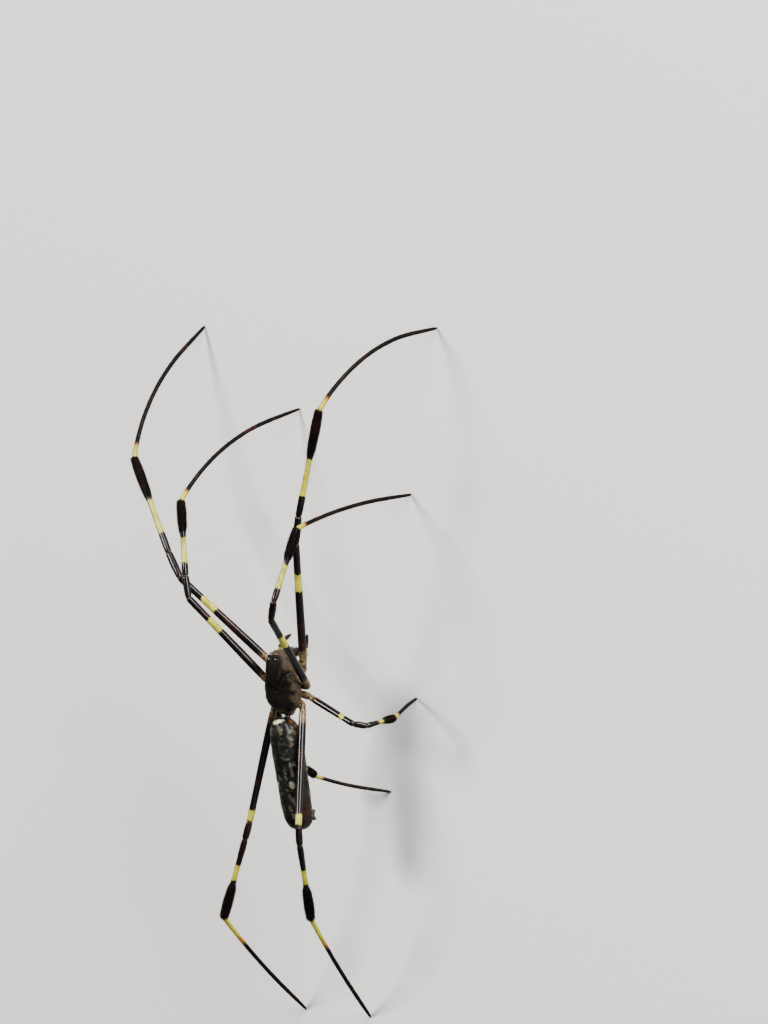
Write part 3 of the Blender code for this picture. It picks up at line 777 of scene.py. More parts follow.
class Finishes:
    """Every finish of the model."""

    def __init__(self) -> None:
        """Build the shared groups and then the materials."""
        self.effects = Effects()
        self.leg_markings = self.build_leg_markings(LegColours())
        self.abdomen_markings = self.build_abdomen_markings(AbdomenColours())
        self.shield_markings = self.build_shield_markings(ShieldColours())
        self.leg_skin = self.leg_finish("leg_cuticle", Gloss(0.33, coat_roughness=0.10, specular=0.08,
                                                             relief=0.007))
        self.leg_hair = self.marked_hair("leg_bristle", self.leg_markings, (0.025, 0.017, 0.012), 0.35, 0.7,
                                         Gloss(0.5, specular=0.10))
        self.abdomen_skin = self.marked("abdomen_skin", self.abdomen_markings,
                                        Gloss(0.36, 0.2, specular=0.11, coat=0.07, relief=0.018, scale=7.0))
        self.abdomen_hair = self.marked_hair("abdomen_hair", self.abdomen_markings, (0.17, 0.15, 0.11),
                                             0.4, 0.8, Gloss(0.5, specular=0.14))
        self.carapace_skin = self.marked("carapace_shield", self.shield_markings,
                                         Gloss(0.42, 0.2, specular=0.10, relief=0.018, scale=11.0))
        self.carapace_hair = self.marked_hair("carapace_hair", self.shield_markings, (0.24, 0.205, 0.15),
                                              0.15, 1.0, Gloss(0.45, specular=0.10), "Hair")
        self.black_plate = self.mottled("black_plate", (0.0045, 0.0035, 0.0035), (0.014, 0.007, 0.006),
                                        1.4, 0.4, Gloss(0.30, 0.14, coat=0.45, coat_roughness=0.10,
                                                        specular=0.25))
        self.brown_skin = self.mottled("brown_skin", (0.105, 0.070, 0.036), (0.022, 0.014, 0.009),
                                       2.6, 0.46, Gloss(0.42, 0.2, coat=0.1, specular=0.3, relief=0.016))
        self.dark_skin = self.mottled("dark_skin", (0.012, 0.008, 0.006), (0.040, 0.024, 0.014),
                                      3.2, 0.4, Gloss(0.42, 0.2, coat=0.1, specular=0.3, relief=0.016))
        self.dark_hair = self.hair("dark_hair", (0.016, 0.011, 0.008), (0.060, 0.042, 0.028), 0.8,
                                   Gloss(0.45, specular=0.3))
        self.fang = self.mottled("fang_horn", (0.030, 0.008, 0.005), (0.006, 0.003, 0.003), 4.0, 0.5,
                                 Gloss(0.16, 0.05, coat=0.5, coat_roughness=0.08, relief=0.003))
        self.lens = self.mottled("eye_lens", (0.0035, 0.003, 0.003), (0.014, 0.008, 0.004), 6.0, 0.4,
                                 Gloss(0.06, 0.03, coat=1.0, coat_roughness=0.02, relief=0.0005))

    def build_leg_markings(self, colours: LegColours) -> Tree:
        """Return the group that colours a leg from its marks."""
        wiring, given, out = new_group("leg_markings", ("Pale", "Brown", "Amber", "Membrane", "Matt"),
                                       ("Colour", "Coat", "Rough"))
        place = wiring.millimetres()
        rust = wiring.span(wiring.noise(place, 0.55, 3.0), 0.50, 0.72)
        dark = wiring.blend(rust, colours.dark, colours.rust)
        shade = wiring.span(wiring.noise(place, 1.1, 3.0), 0.40, 0.74)
        pale = wiring.blend(shade, colours.pale, colours.olive)
        band = wiring.group(self.effects.soft_edge, Depth=given["Pale"], Blur=0.12, Wander=0.7, Scale=2.2)
        colour = wiring.blend(band.outputs["Mask"], dark, pale)
        amber = wiring.blend(wiring.span(given["Amber"], 0.55, 0.95), colours.amber, colours.pale)
        colour = wiring.blend(wiring.span(given["Amber"], 0.05, 0.6), colour, amber)
        brown = wiring.group(self.effects.mottle, First=colours.buff, Second=colours.umber, Scale=2.4,
                             Cover=0.48)
        colour = wiring.blend(wiring.span(given["Brown"], 0.1, 0.9), colour, brown.outputs["Colour"])
        colour = wiring.blend(wiring.times(given["Membrane"], 0.75), colour, colours.membrane)
        wiring.feed(out["Colour"], colour)
        wiring.feed(out["Coat"], wiring.span(given["Matt"], 0.0, 1.0, 0.30, 0.04))
        wiring.feed(out["Rough"], wiring.span(given["Matt"], 0.0, 1.0, 0.33, 0.58))
        return wiring.tree

    def build_abdomen_markings(self, colours: AbdomenColours) -> Tree:
        """Return the group that colours the abdomen from its marks."""
        wiring, given, out = new_group("abdomen_markings", ("Pale", "Grey", "Bar", "Cap", "Red", "Orange"),
                                       ("Colour",))
        place = wiring.millimetres()
        ground = wiring.blend(wiring.span(wiring.noise(place, 0.8, 4.0, 0.6), 0.42, 0.66), colours.ground,
                              colours.slate)
        cloud = wiring.span(wiring.noise(place, 1.1, 4.0, 0.6), 0.36, 0.60)
        ground = wiring.blend(wiring.times(given["Red"], cloud), ground, colours.red)
        colour = wiring.blend(wiring.times(given["Orange"], cloud), ground, colours.orange)
        for mark, paint, blur, wander in (
                ("Bar", colours.bar, 0.16, 1.2), ("Grey", colours.grey, 0.13, 1.3),
                ("Pale", colours.pale, 0.08, 0.35), ("Cap", colours.cap, 0.12, 0.8)):
            edge = wiring.group(self.effects.soft_edge, Depth=given[mark], Blur=blur, Wander=wander,
                                Scale=1.7)
            worn = wiring.span(wiring.noise(place, 4.0, 4.0), 0.30, 0.58, 0.2, 1.0)
            colour = wiring.blend(wiring.times(edge.outputs["Mask"], worn), colour, paint)
        wiring.feed(out["Colour"], colour)
        return wiring.tree

    def build_shield_markings(self, colours: ShieldColours) -> Tree:
        """Return the group that colours the carapace and its hair from how pale each place is."""
        wiring, given, out = new_group("shield_markings", ("Light",), ("Colour", "Hair"))
        place = wiring.millimetres()
        sway = wiring.times(wiring.minus(wiring.noise(place, 1.5, 4.0, 0.6), 0.5), 1.5)
        light = wiring.span(wiring.plus(given["Light"], sway), 0.22, 0.78)
        wiring.feed(out["Colour"], wiring.blend(light, colours.dark, colours.brown))
        wiring.feed(out["Hair"], wiring.blend(light, colours.dark_hair, colours.pale_hair))
        return wiring.tree

    def marked_colour(self, wiring: Wiring, group: Tree) -> Node:
        """Return a markings group fed by the mesh's marks of the same names."""
        node = wiring.add("ShaderNodeGroup", node_tree=group)
        for socket in node.inputs:
            wiring.feed(socket, wiring.mark(socket.name.lower()))
        return node

    def leg_finish(self, name: str, gloss: Gloss) -> Material:
        """Return the banded cuticle of the legs, glossy on the thigh and matt where hair covers it."""
        finish = Finish(name, self.effects, gloss)
        made = self.marked_colour(finish.wiring, self.leg_markings)
        finish.wiring.feed(finish.shader.inputs["Coat Weight"], made.outputs["Coat"])
        return finish.dress(made.outputs["Colour"], rough=made.outputs["Rough"])

    def marked(self, name: str, markings: Tree, gloss: Gloss) -> Material:
        """Return a skin coloured by a markings group."""
        finish = Finish(name, self.effects, gloss)
        return finish.dress(self.marked_colour(finish.wiring, markings).outputs["Colour"])

    def marked_hair(self, name: str, markings: Tree, tip: Colour, tip_share: float, spread: float,
                    gloss: Gloss, output: str = "Colour") -> Material:
        """Return hair that carries the markings of the skin under it.

        Args:
            name: the material's name.
            markings: the group that colours the skin.
            tip: the colour that the hairs' tips are drawn to.
            tip_share: how far they are drawn to it, from 0 to 1.
            spread: how much the hairs differ from each other.
            gloss: the finish's plain numbers.
            output: the group's output that gives the hair's colour.

        Returns:
            The material.
        """
        finish = Finish(name, self.effects, gloss)
        colour = self.marked_colour(finish.wiring, markings).outputs[output]
        return self.toned(finish, colour, finish.wiring.blend(tip_share, colour, tip), spread)

    def toned(self, finish: Finish, colour: object, tip: object, spread: float) -> Material:
        """Return a hair finish whose hairs differ from each other."""
        wiring = finish.wiring
        made = wiring.group(self.effects.hair_tone, Colour=colour, Tip_Colour=tip, Tone=wiring.mark("tone"),
                            Tip=wiring.times(wiring.mark("tip"), 0.5), Spread=spread)
        return finish.dress(made.outputs["Colour"], relief=False)

    def hair(self, name: str, colour: Colour, tip: Colour, spread: float, gloss: Gloss) -> Material:
        """Return the finish of hair of one colour."""
        return self.toned(Finish(name, self.effects, gloss), colour, tip, spread)

    def mottled(self, name: str, first: Colour, second: Colour, scale: float, cover: float,
                gloss: Gloss) -> Material:
        """Return a cuticle of one colour clouded with another."""
        finish = Finish(name, self.effects, gloss)
        made = finish.wiring.group(self.effects.mottle, First=first, Second=second, Scale=scale, Cover=cover)
        return finish.dress(made.outputs["Colour"])


@dataclass(frozen=True)
class LegPlan:
    """The sizes and bands of one pair of legs.

    lengths are those of femur, patella, tibia, metatarsus and tarsus. A band is a range of shares of
    its segment's length, pale_base the share of the metatarsus that is pale, and brush_length the
    length of the shin's brush hairs.
    """

    lengths: tuple[float, float, float, float, float]
    thickness: float
    coxa_start: Point
    coxa_end: Point
    femur_band: tuple[float, float]
    tibia_band: tuple[float, float]
    pale_base: float
    brush_length: float


LEG_PLANS = {
    1: LegPlan((16.1, 3.6, 13.5, 17.2, 4.1), 1.00, (1.48, 1.35, -1.15), (2.40, 2.25, -0.95),
               (0.62, 0.76), (0.20, 0.55), 0.11, 0.42),
    2: LegPlan((14.5, 2.7, 9.3, 17.3, 4.2), 0.96, (1.62, 0.08, -1.15), (2.95, -0.10, -0.95),
               (0.62, 0.76), (0.18, 0.51), 0.09, 0.46),
    3: LegPlan((7.3, 1.6, 3.9, 6.5, 2.9), 0.84, (1.56, -1.10, -1.25), (2.93, -1.45, -1.25),
               (0.71, 0.80), (0.42, 0.56), 0.14, 0.38),
    4: LegPlan((14.6, 2.3, 10.6, 15.4, 3.7), 0.94, (1.26, -2.10, -1.05), (2.30, -2.70, -0.65),
               (0.90, 0.99), (0.33, 0.52), 0.32, 0.54),
}

# Headings and pitches in degrees of femur, patella, tibia and the metatarsus's start and end
LEG_POSE = {
    (1, Side.LEFT): ((48, 36, 33, 10, -8), (12, -7, -10, -25, -55)),
    (1, Side.RIGHT): ((12, 18, 17, 17, 42), (15, 9, 0, -32, -84)),
    (2, Side.LEFT): ((31, 15, 12, -4, -43), (29, -7, -11, -41, -72)),
    (2, Side.RIGHT): ((24, 28, 6, -8, -8), (47, 16, -23, -76, -89)),
    (3, Side.LEFT): ((172, 181, 206, 240, 255), (-24, -39, -43, -42, -45)),
    (3, Side.RIGHT): ((115, 104, 66, -39, -83), (-2, -41, -64, -65, -61)),
    (4, Side.LEFT): ((164, 159, 157, 176, 182), (3, 1, -1, -45, -51)),
    (4, Side.RIGHT): ((172, 184, 194, 188, 194), (15, -7, -23, -39, -47)),
}

LEG_PROFILES = {
    Segment.COXA: ((0.0, 0.40), (0.3, 0.50), (0.7, 0.56), (1.0, 0.47)),
    Segment.FEMUR: ((0.0, 0.42), (0.07, 0.48), (0.25, 0.51), (0.55, 0.48), (0.85, 0.44), (0.95, 0.45),
                    (1.0, 0.41)),
    Segment.PATELLA: ((0.0, 0.40), (0.3, 0.45), (0.7, 0.46), (1.0, 0.40)),
    Segment.TIBIA: ((0.0, 0.38), (0.08, 0.42), (0.28, 0.37), (0.52, 0.36), (0.66, 0.46), (0.90, 0.50),
                    (1.0, 0.40)),
    Segment.METATARSUS: ((0.0, 0.30), (0.12, 0.27), (0.5, 0.25), (1.0, 0.25)),
    Segment.TARSUS: ((0.0, 0.25), (0.5, 0.22), (1.0, 0.16)),
}

# Hairs for each square millimetre and their length, on each segment
LEG_HAIR = {
    Segment.COXA: (26.0, 0.22),
    Segment.FEMUR: (20.0, 0.20),
    Segment.PATELLA: (40.0, 0.24),
    Segment.TIBIA: (40.0, 0.24),
    Segment.METATARSUS: (150.0, 0.21),
    Segment.TARSUS: (190.0, 0.17),
}


@dataclass
class LegRoute:
    """A leg's middle line in fine steps: its points, and the segment, share and run at each."""

    points: Array
    segment: Array
    share: Array
    run: Array
    joints: Array


@dataclass
class Leg:
    """One leg from the coxa under the shield to the claws on the floor.

    Rings stand a step apart within fine_reach of a joint and within fine_toe of the toe, and
    thinning steps apart elsewhere. The coxa bends at bend_share of its length, pulled bend_back
    from the femur. ring is the narrow ring at the femur's base and fold the soft fold past each
    joint, each with its place and width, and spines are the few long bristles.
    """

    number: int
    side: Side
    sides: int = 26
    step: float = 0.05
    fine_reach: float = 0.65
    fine_toe: float = 0.5
    thinning: int = 4
    bend_reach: int = 6
    inset: float = 0.975
    root_sink: float = 0.55
    bend_share: float = 0.55
    bend_back: float = 0.12
    arch_steps: int = 8
    last_joint_reach: float = 0.7
    last_joint_strength: float = 0.45
    ring: tuple[float, float] = (0.62, 0.08)
    ring_depth: float = 0.13
    fold: tuple[float, float] = (0.05, 0.08)
    toe_length: float = 0.45
    toe_blunt: float = 0.12
    bare_root: tuple[float, float] = (0.6, 1.1)
    brush_share: tuple[float, float] = (0.55, 0.61)
    brush_depth: float = 0.03
    brush_density: float = 330.0
    brush_shortening: float = 0.28
    girth: float = 2.4
    spine_spacing: float = 0.75
    spine_lengths: tuple[float, float] = (0.34, 0.60)
    claw_length: float = 0.26
    claw_gap: float = 0.055
    claw_radii: tuple[float, float] = (0.034, 0.007)
    claw_rest: float = 0.03

    @property
    def name(self) -> str:
        """The leg's name in the frame."""
        return f"leg{self.number}_{self.side.label}"

    def route(self) -> LegRoute:
        """Return the middle line of the whole leg."""
        plan = LEG_PLANS[self.number]
        headings, pitches = LEG_POSE[self.number, self.side]
        ways = [direction(heading, pitch, self.side) for heading, pitch in zip(headings, pitches)]
        femur, patella, tibia, metatarsus, tarsus = plan.lengths
        root, base = mirrored(plan.coxa_start, self.side), mirrored(plan.coxa_end, self.side)
        bend = root + (base - root) * self.bend_share - ways[0] * self.bend_back
        knee = base + ways[0] * femur
        shin = knee + ways[1] * patella
        ankle = shin + ways[2] * tibia
        arch = self.arch(ways[3], ways[4])
        fit = (ankle[2] + STAND_HEIGHT) / -(arch[-1, 2] * metatarsus + ways[4][2] * tarsus)
        foot = ankle + arch * metatarsus * fit
        toe = foot[-1] + ways[4] * tarsus * fit
        inner = root - unit(bend - root) * self.root_sink
        lines = [np.array([inner, root, 0.25 * root + 0.5 * bend + 0.25 * base, base]),
                 np.array([base, knee]), np.array([knee, shin]), np.array([shin, ankle]), foot,
                 np.array([foot[-1], toe])]
        points, segment, share = [], [], []
        for index, line in enumerate(lines):
            length = np.linalg.norm(np.diff(line, axis=0), axis=1).sum()
            count = max(int(round(length / self.step)), 8)
            points.append(spline(line, count + 1)[:-1])
            segment.append(np.full(count, index))
            share.append(np.arange(count) / count)
        joined = np.concatenate([*points, toe[None]])
        segment_all = np.concatenate([*segment, [Segment.TARSUS.value]])
        share_all = np.concatenate([*share, [1.0]])
        run = np.concatenate([[0.0], np.cumsum(np.linalg.norm(np.diff(joined, axis=0), axis=1))])
        joints = np.array([run[np.argmax(segment_all == index)] for index in range(1, 6)])
        return LegRoute(self.softened(joined), segment_all, share_all, run, joints)

    def arch(self, start: Array, end: Array) -> Array:
        """Return points of an arch one unit long that turns evenly from one direction to another."""
        angle = math.acos(float(np.dot(start, end)))
        points = [np.zeros(3)]
        for step in range(self.arch_steps):
            t = (step + 0.5) / self.arch_steps
            way = (math.sin((1 - t) * angle) * start + math.sin(t * angle) * end) / math.sin(angle)
            points.append(points[-1] + way / self.arch_steps)
        return np.array(points)

    def softened(self, points: Array) -> Array:
        """Return the line with its corners rounded off at the joints."""
        reach = self.bend_reach
        before = points[0] + (points[0] - points[1]) * np.arange(reach, 0, -1)[:, None]
        after = points[-1] + (points[-1] - points[-2]) * np.arange(1, reach + 1)[:, None]
        padded = np.concatenate([before, points, after])
        weights = np.hanning(2 * reach + 3)[1:-1]
        weights /= weights.sum()
        return np.stack([np.convolve(padded[:, axis], weights, "valid") for axis in range(3)], axis=1)

    def joint_shape(self, offset: Array) -> Array:
        """Return the share of the radius near a joint: a flared lip, a narrow fold and a new start."""
        profile = ((-0.60, 1.0), (-0.34, 1.04), (-0.13, 1.05), (-0.06, 0.96), (0.0, 0.87), (0.10, 0.87),
                   (0.18, 0.96), (0.42, 1.01), (0.60, 1.0))
        return read_profile(profile, np.clip(offset, -0.60, 0.60))

    def surface(self) -> Surface:
        """Return the leg's skin with its marks."""
        plan = LEG_PLANS[self.number]
        route = self.route()
        radius = np.zeros(len(route.points))
        density, length = np.zeros_like(radius), np.zeros_like(radius)
        for part in Segment:
            here = route.segment == part.value
            radius[here] = eased_profile(LEG_PROFILES[part], route.share[here])
            density[here], length[here] = LEG_HAIR[part]
        radius *= plan.thickness * self.inset
        offsets = route.run[:, None] - route.joints[None, :]
        past_coxa, past_ankle, past_last_joint = offsets[:, 0], offsets[:, 3], offsets[:, 4]
        nearest = offsets[np.arange(len(offsets)), np.abs(offsets).argmin(axis=1)]
        at_last_joint = np.abs(past_last_joint) < self.last_joint_reach
        strength = np.where(at_last_joint, self.last_joint_strength, 1.0)
        radius *= 1.0 + (self.joint_shape(nearest) - 1.0) * strength
        radius *= 1.0 - self.ring_depth * bell(past_coxa - self.ring[0], self.ring[1])
        brush = np.where(route.segment == Segment.TIBIA.value,
                         smoothstep(*self.brush_share, route.share), 0.0)
        radius -= self.brush_depth * brush
        blunt = self.toe_blunt
        radius *= np.sqrt(np.clip((route.run[-1] - route.run) / self.toe_length + blunt, blunt, 1.0))
        length *= 1.0 - self.brush_shortening * brush * smoothstep(-0.50, -0.05, past_ankle)
        fold = bell(nearest - self.fold[0], self.fold[1])
        density = density * (1.0 - brush) * (1.0 - fold) * smoothstep(*self.bare_root, route.run)
        matt = np.maximum(smoothstep(0.0, 2.0, past_ankle), 0.9 * brush)
        marks = {"pale": self.band_depth(route, plan), "brown": self.brown(route),
                 "amber": self.amber(route, plan), "membrane": fold, "matt": matt, "hair_length": length,
                 "hair_density": density, "hair_brush": brush * (1.0 - fold)}
        keep = np.abs(nearest) < self.fine_reach
        keep |= np.arange(len(radius)) % self.thinning == 0
        keep |= route.run > route.run[-1] - self.fine_toe
        keep[[0, -1]] = True
        rings = tube_rings(route.points[keep], radius[keep], self.sides)
        return Surface(rings, {name: value[keep] for name, value in marks.items()})

    def band_depth(self, route: LegRoute, plan: LegPlan) -> Array:
        """Return how deep each place lies inside a pale band, in millimetres, or below 0 outside."""
        depth = np.full(len(route.points), OUTSIDE)
        for part, (low, high), length in ((Segment.FEMUR, plan.femur_band, plan.lengths[0]),
                                          (Segment.TIBIA, plan.tibia_band, plan.lengths[2])):
            start = route.joints[part.value - 1]
            inside = np.minimum(route.run - start - low * length, start + high * length - route.run)
            depth = np.maximum(depth, inside)
        if self.number in (2, 3):
            depth = np.maximum(depth, 0.20 - np.abs(route.run - route.joints[0] + 0.30))
        return depth

    def brown(self, route: LegRoute) -> Array:
        """Return how brown each place is: the coxa, fading out along the femur's base."""
        femur = 1.0 - smoothstep(0.06, 0.19, route.share)
        beyond = np.where(route.segment == Segment.FEMUR.value, femur, 0.0)
        return np.where(route.segment == Segment.COXA.value, 1.0, beyond)

    def amber(self, route: LegRoute, plan: LegPlan) -> Array:
        """Return how pale each place of the metatarsus is, fading out from its base."""
        fade = 1.0 - smoothstep(0.5 * plan.pale_base, 1.25 * plan.pale_base, route.share)
        return np.where(route.segment == Segment.METATARSUS.value, fade, 0.0)

    def claws(self, surface: Surface) -> Patch:
        """Return the three claws of the foot, curved to the floor."""
        tip = surface.rings[-1].mean(axis=0)
        way = unit(tip - surface.rings[-8].mean(axis=0))
        ahead = unit(way * np.array([1.0, 1.0, 0.0]))
        aside = np.cross(ahead, np.array([0.0, 0.0, 1.0]))
        lowest = -STAND_HEIGHT + self.claw_rest
        patches = []
        for reach, size in ((-self.claw_gap, 1.0), (self.claw_gap, 1.0), (0.0, 0.7)):
            start = tip - way * 0.07 + aside * reach + np.array([0.0, 0.0, 0.03])
            middle = start + (ahead * 0.75 + way * 0.2) * self.claw_length * 0.55 * size
            end = start + (ahead + aside * reach) * self.claw_length * 0.85 * size
            end[2] = min(lowest, start[2])
            middle[2] = max(middle[2], lowest + 0.02)
            line = spline(np.array([start, middle, end]), 8)
            rings = tube_rings(line, np.linspace(*self.claw_radii, 8) * size, 8)
            patches.append(Surface(rings).patch())
        return Patch.merged(patches)

    def bristles(self, surface: Surface, rng: Draws) -> Patch:
        """Return the fine hair, the dense brush of the dark shin and the few long bristles."""
        marks = surface.marks
        fine = Coat(radius=0.010, lift=(14.0, 32.0))
        brush = Coat(radius=0.012, length=(0.7, 1.15), lift=(26.0, 48.0), settle=0.45)
        long = Coat(radius=0.016, length=(0.7, 1.3), lift=(34.0, 54.0), settle=0.35, steps=3)
        brushed = surface.scatter(marks["hair_brush"] * self.brush_density, rng)
        haired = marks["hair_density"] > 5.0
        sparse = surface.scatter(haired / (self.girth * self.spine_spacing), rng)
        shorter, longer = self.spine_lengths
        sparse.marks["hair_length"] = np.where(sparse.marks["hair_length"] > 0.20, longer, shorter)
        factor = LEG_PLANS[self.number].brush_length / LEG_HAIR[Segment.TIBIA][1]
        return Patch.merged([fine.grow(surface.scatter(marks["hair_density"], rng), rng),
                             brush.grow(brushed.lengthened(factor), rng), long.grow(sparse, rng)])

    def build(self, shop: Workshop, finishes: Finishes, rng: Draws) -> None:
        """Make the leg's skin, claws and bristles."""
        surface = self.surface()
        nodes = tuple(f"{self.name}_{part.name.lower()}" for part in Segment)
        shop.piece(f"{self.name}_skin", surface.patch(), finishes.leg_skin, nodes)
        shop.piece(f"{self.name}_claws", self.claws(surface), finishes.fang)
        shop.piece(f"{self.name}_bristles", self.bristles(surface, rng), finishes.leg_hair)


@dataclass(frozen=True)
class Shield:
    """The carapace: the profiles of its plan and its height, as in the solid."""

    rear: float = CARAPACE_REAR
    front: float = 4.1
    rim: float = -0.05
    squareness: float = 0.82
    inset: float = 0.05
    rows: int = 210
    arch_columns: int = 170
    under_columns: int = 24
    half_width: Pairs = (
        (0.00, 0.95), (0.07, 1.80), (0.20, 2.50), (0.34, 2.72), (0.47, 2.56), (0.61, 2.14), (0.74, 1.86),
        (0.88, 1.70), (0.96, 1.44), (1.00, 1.15))
    top: Pairs = (
        (0.00, 0.50), (0.07, 0.95), (0.20, 1.40), (0.34, 1.52), (0.47, 1.76), (0.61, 2.10), (0.74, 2.25),
        (0.88, 2.05), (0.96, 1.65), (1.00, 1.25))

    def points(self, share: Array | float, angle: Array | float) -> Array:
        """Return points of the arch at shares of its length and angles round it in degrees."""
        share, angle = np.broadcast_arrays(np.asarray(share, float), np.asarray(angle, float))
        half_width, top = eased_profile(self.half_width, share), eased_profile(self.top, share)
        arc = np.radians(angle)
        reach = np.sign(np.cos(arc)) * np.abs(np.cos(arc)) ** self.squareness
        rise = np.maximum(np.sin(arc), 0.0) ** self.squareness
        y = self.rear + (self.front - self.rear) * share
        return np.stack([half_width * reach, y, self.rim + (top - self.rim) * rise], axis=-1)

    def lifted(self, share: float, angle: float, lift: float) -> Array:
        """Return a point at a height over the arch."""
        middle = min(share, 0.99)
        ahead, behind = self.points(middle + 0.01, angle), self.points(middle - 0.01, angle)
        after, before = self.points(share, angle + 2.0), self.points(share, angle - 2.0)
        return self.points(share, angle) + unit(np.cross(ahead - behind, after - before)) * lift


@dataclass
class Head:
    """The shield over head and thorax with its coat and its eyes.

    An eye is a share of the shield's length and an angle round its arch. fovea is the pit in the
    shield's middle. A groove runs from it to a place beside and along the body, and has a depth.
    The hair parts at parting, and under_density and over_density are those of its two layers.
    """

    shield: Shield = field(default_factory=Shield)
    eye_radius: float = 0.165
    eye_rise: float = 0.045
    middle_eyes: Pairs = ((0.955, 76.0), (0.955, 104.0), (0.885, 76.0), (0.885, 104.0))
    side_eyes: Pairs = ((0.960, 20.0), (0.915, 22.0))
    fovea: tuple[float, float] = (0.0, -0.62)
    groove_ends: tuple[tuple[float, float, float], ...] = (
        (1.95, 1.75, 0.12), (2.60, 0.55, 0.05), (2.60, -0.95, 0.045), (1.75, -2.35, 0.05))
    under_bulge: float = 0.13
    hair_length: float = 0.24
    parting: float = -2.85
    under_density: float = 400.0
    over_density: float = 90.0

    def eye_places(self) -> dict[str, list[Array]]:
        """Return the places of the eyes for each group of the frame."""
        groups = {"eyes_middle": self.middle_eyes, "eyes_right": self.side_eyes,
                  "eyes_left": tuple((share, 180.0 - angle) for share, angle in self.side_eyes)}
        return {name: [self.shield.lifted(share, angle, self.eye_rise) for share, angle in eyes]
                for name, eyes in groups.items()}

    def grooves(self, rings: Array) -> list[tuple[Array, float]]:
        """Return the distance from each groove and its depth, left and right in turn."""
        x, y = rings[..., 0], rings[..., 1]
        return [(distance_to_line(x, y, self.fovea, (sign * reach, end)), depth)
                for reach, end, depth in self.groove_ends for sign in (-1.0, 1.0)]

    def surface(self) -> Surface:
        """Return the shield's skin, with grooves, a pit in its middle and a rim round each eye."""
        shield = self.shield
        shares = 0.5 - 0.5 * np.cos(math.pi * np.linspace(0.0, 1.0, shield.rows))
        angles = np.linspace(0.0, 180.0, shield.arch_columns)
        arch = shield.points(shares[:, None], angles[None, :])
        under = np.linspace(0.0, 1.0, shield.under_columns + 2)[1:-1]
        half_width = eased_profile(shield.half_width, shares)
        x = half_width[:, None] * (2.0 * under - 1.0)[None, :]
        sag = self.under_bulge * (1.0 - np.abs(2.0 * under - 1.0) ** 8)
        z = np.broadcast_to(shield.rim - sag[None, :], x.shape)
        y = np.broadcast_to(arch[:, :1, 1], x.shape)
        rings = self.closed_ends(np.concatenate([arch, np.stack([x, y, z], axis=-1)], axis=1))
        surface = Surface(rings)
        moved = surface.displaced(self.relief(rings, surface.normals()) - shield.inset)
        cover, bare = self.hair_cover(moved)
        moved.marks = {"light": self.paleness(moved), "hair_density": cover,
                       "hair_length": self.hair_length * (1.0 - 0.4 * bare)}
        return moved

    def closed_ends(self, rings: Array) -> Array:
        """Return the rings with the upright face and the rear closed by rows that carry on their slope."""
        depths = np.linspace(0.0, 1.0, 300)
        rows = {}
        for index, sign, depth, slope in ((0, -1.0, 0.24, 0.28), (-1, 1.0, 0.22, 0.24)):
            widths = 1.0 - slope * depths - (1.0 - slope) * depths ** 5
            middle_height = self.shield.rim + 0.45 * (rings[index, :, 2].max() - self.shield.rim)
            middle = np.array([0.0, rings[index, 0, 1], middle_height])
            rows[index] = []
            for width in np.linspace(0.97, 0.05, 20):
                ahead = float(np.interp(-width, -widths, depths)) * depth * sign
                rows[index].append(middle + (rings[index] - middle) * width + np.array([0.0, ahead, 0.0]))
        return np.concatenate([np.array(rows[0][::-1]), rings, np.array(rows[-1])])

    def relief(self, rings: Array, normals: Array) -> Array:
        """Return the height of grooves, pit, margin, eye mounds and eye rims over the plain shield."""
        x, y = rings[..., 0], rings[..., 1]
        above = smoothstep(0.05, 0.35, normals[..., 2])
        height = -0.20 * bell(x - self.fovea[0], 0.22) * bell(y - self.fovea[1], 0.13)
        from_middle = np.hypot(x - self.fovea[0], y - self.fovea[1])
        for line, depth in self.grooves(rings):
            width = 0.19 if depth > 0.1 else 0.26
            height = height - depth * bell(line, width) * smoothstep(0.15, 0.7, from_middle)
        height = height * above
        over_rim = rings[..., 2] - self.shield.rim
        side = smoothstep(0.5, 1.0, np.abs(x)) * (over_rim > -0.02)
        height = height + side * (0.03 * bell(over_rim - 0.08, 0.06) - 0.05 * bell(over_rim - 0.24, 0.07))
        for places in self.eye_places().values():
            mound = np.zeros(x.shape)
            for place in places:
                gap = np.linalg.norm(rings - place, axis=-1)
                lift = float(gap.min())
                reach = np.sqrt(gap ** 2 - lift ** 2)
                mound = np.maximum(mound, (lift + self.shield.inset - 0.02) * bell(reach, 0.36))
                height = height + 0.05 * bell(reach - 0.19, 0.05) - 0.05 * bell(reach, 0.12)
            height = height + mound
        return height

    def paleness(self, surface: Surface) -> Array:
        """Return how pale each place is: the margins and the face more than the middle, and darker along the
        grooves as a dark radial pattern with painted shade in them.
        """
        x, y = surface.rings[..., 0], surface.rings[..., 1]
        share = np.clip((y - self.shield.rear) / (self.shield.front - self.shield.rear), 0.0, 1.0)
        reach = np.abs(x) / np.maximum(eased_profile(self.shield.half_width, share), 0.5)
        pale = 0.75 * smoothstep(0.42, 0.98, reach)
        pale = np.maximum(pale, 0.8 * smoothstep(3.2, 4.0, y))
        pale = np.maximum(pale, 0.6 * smoothstep(-2.4, -3.2, y))
        lines = bell(np.abs(x) - 0.5 * (y + 0.6), 0.22) * smoothstep(0.2, 1.2, y) * smoothstep(3.2, 2.4, y)
        pale = np.maximum(pale, 0.55 * lines)
        # Darker along the grooves: a dark radial pattern with painted shade in the grooves' hollows, for
        # skin and hair alike
        for line, _ in self.grooves(surface.rings):
            pale = pale - 0.25 * bell(line, 0.28)
        return pale

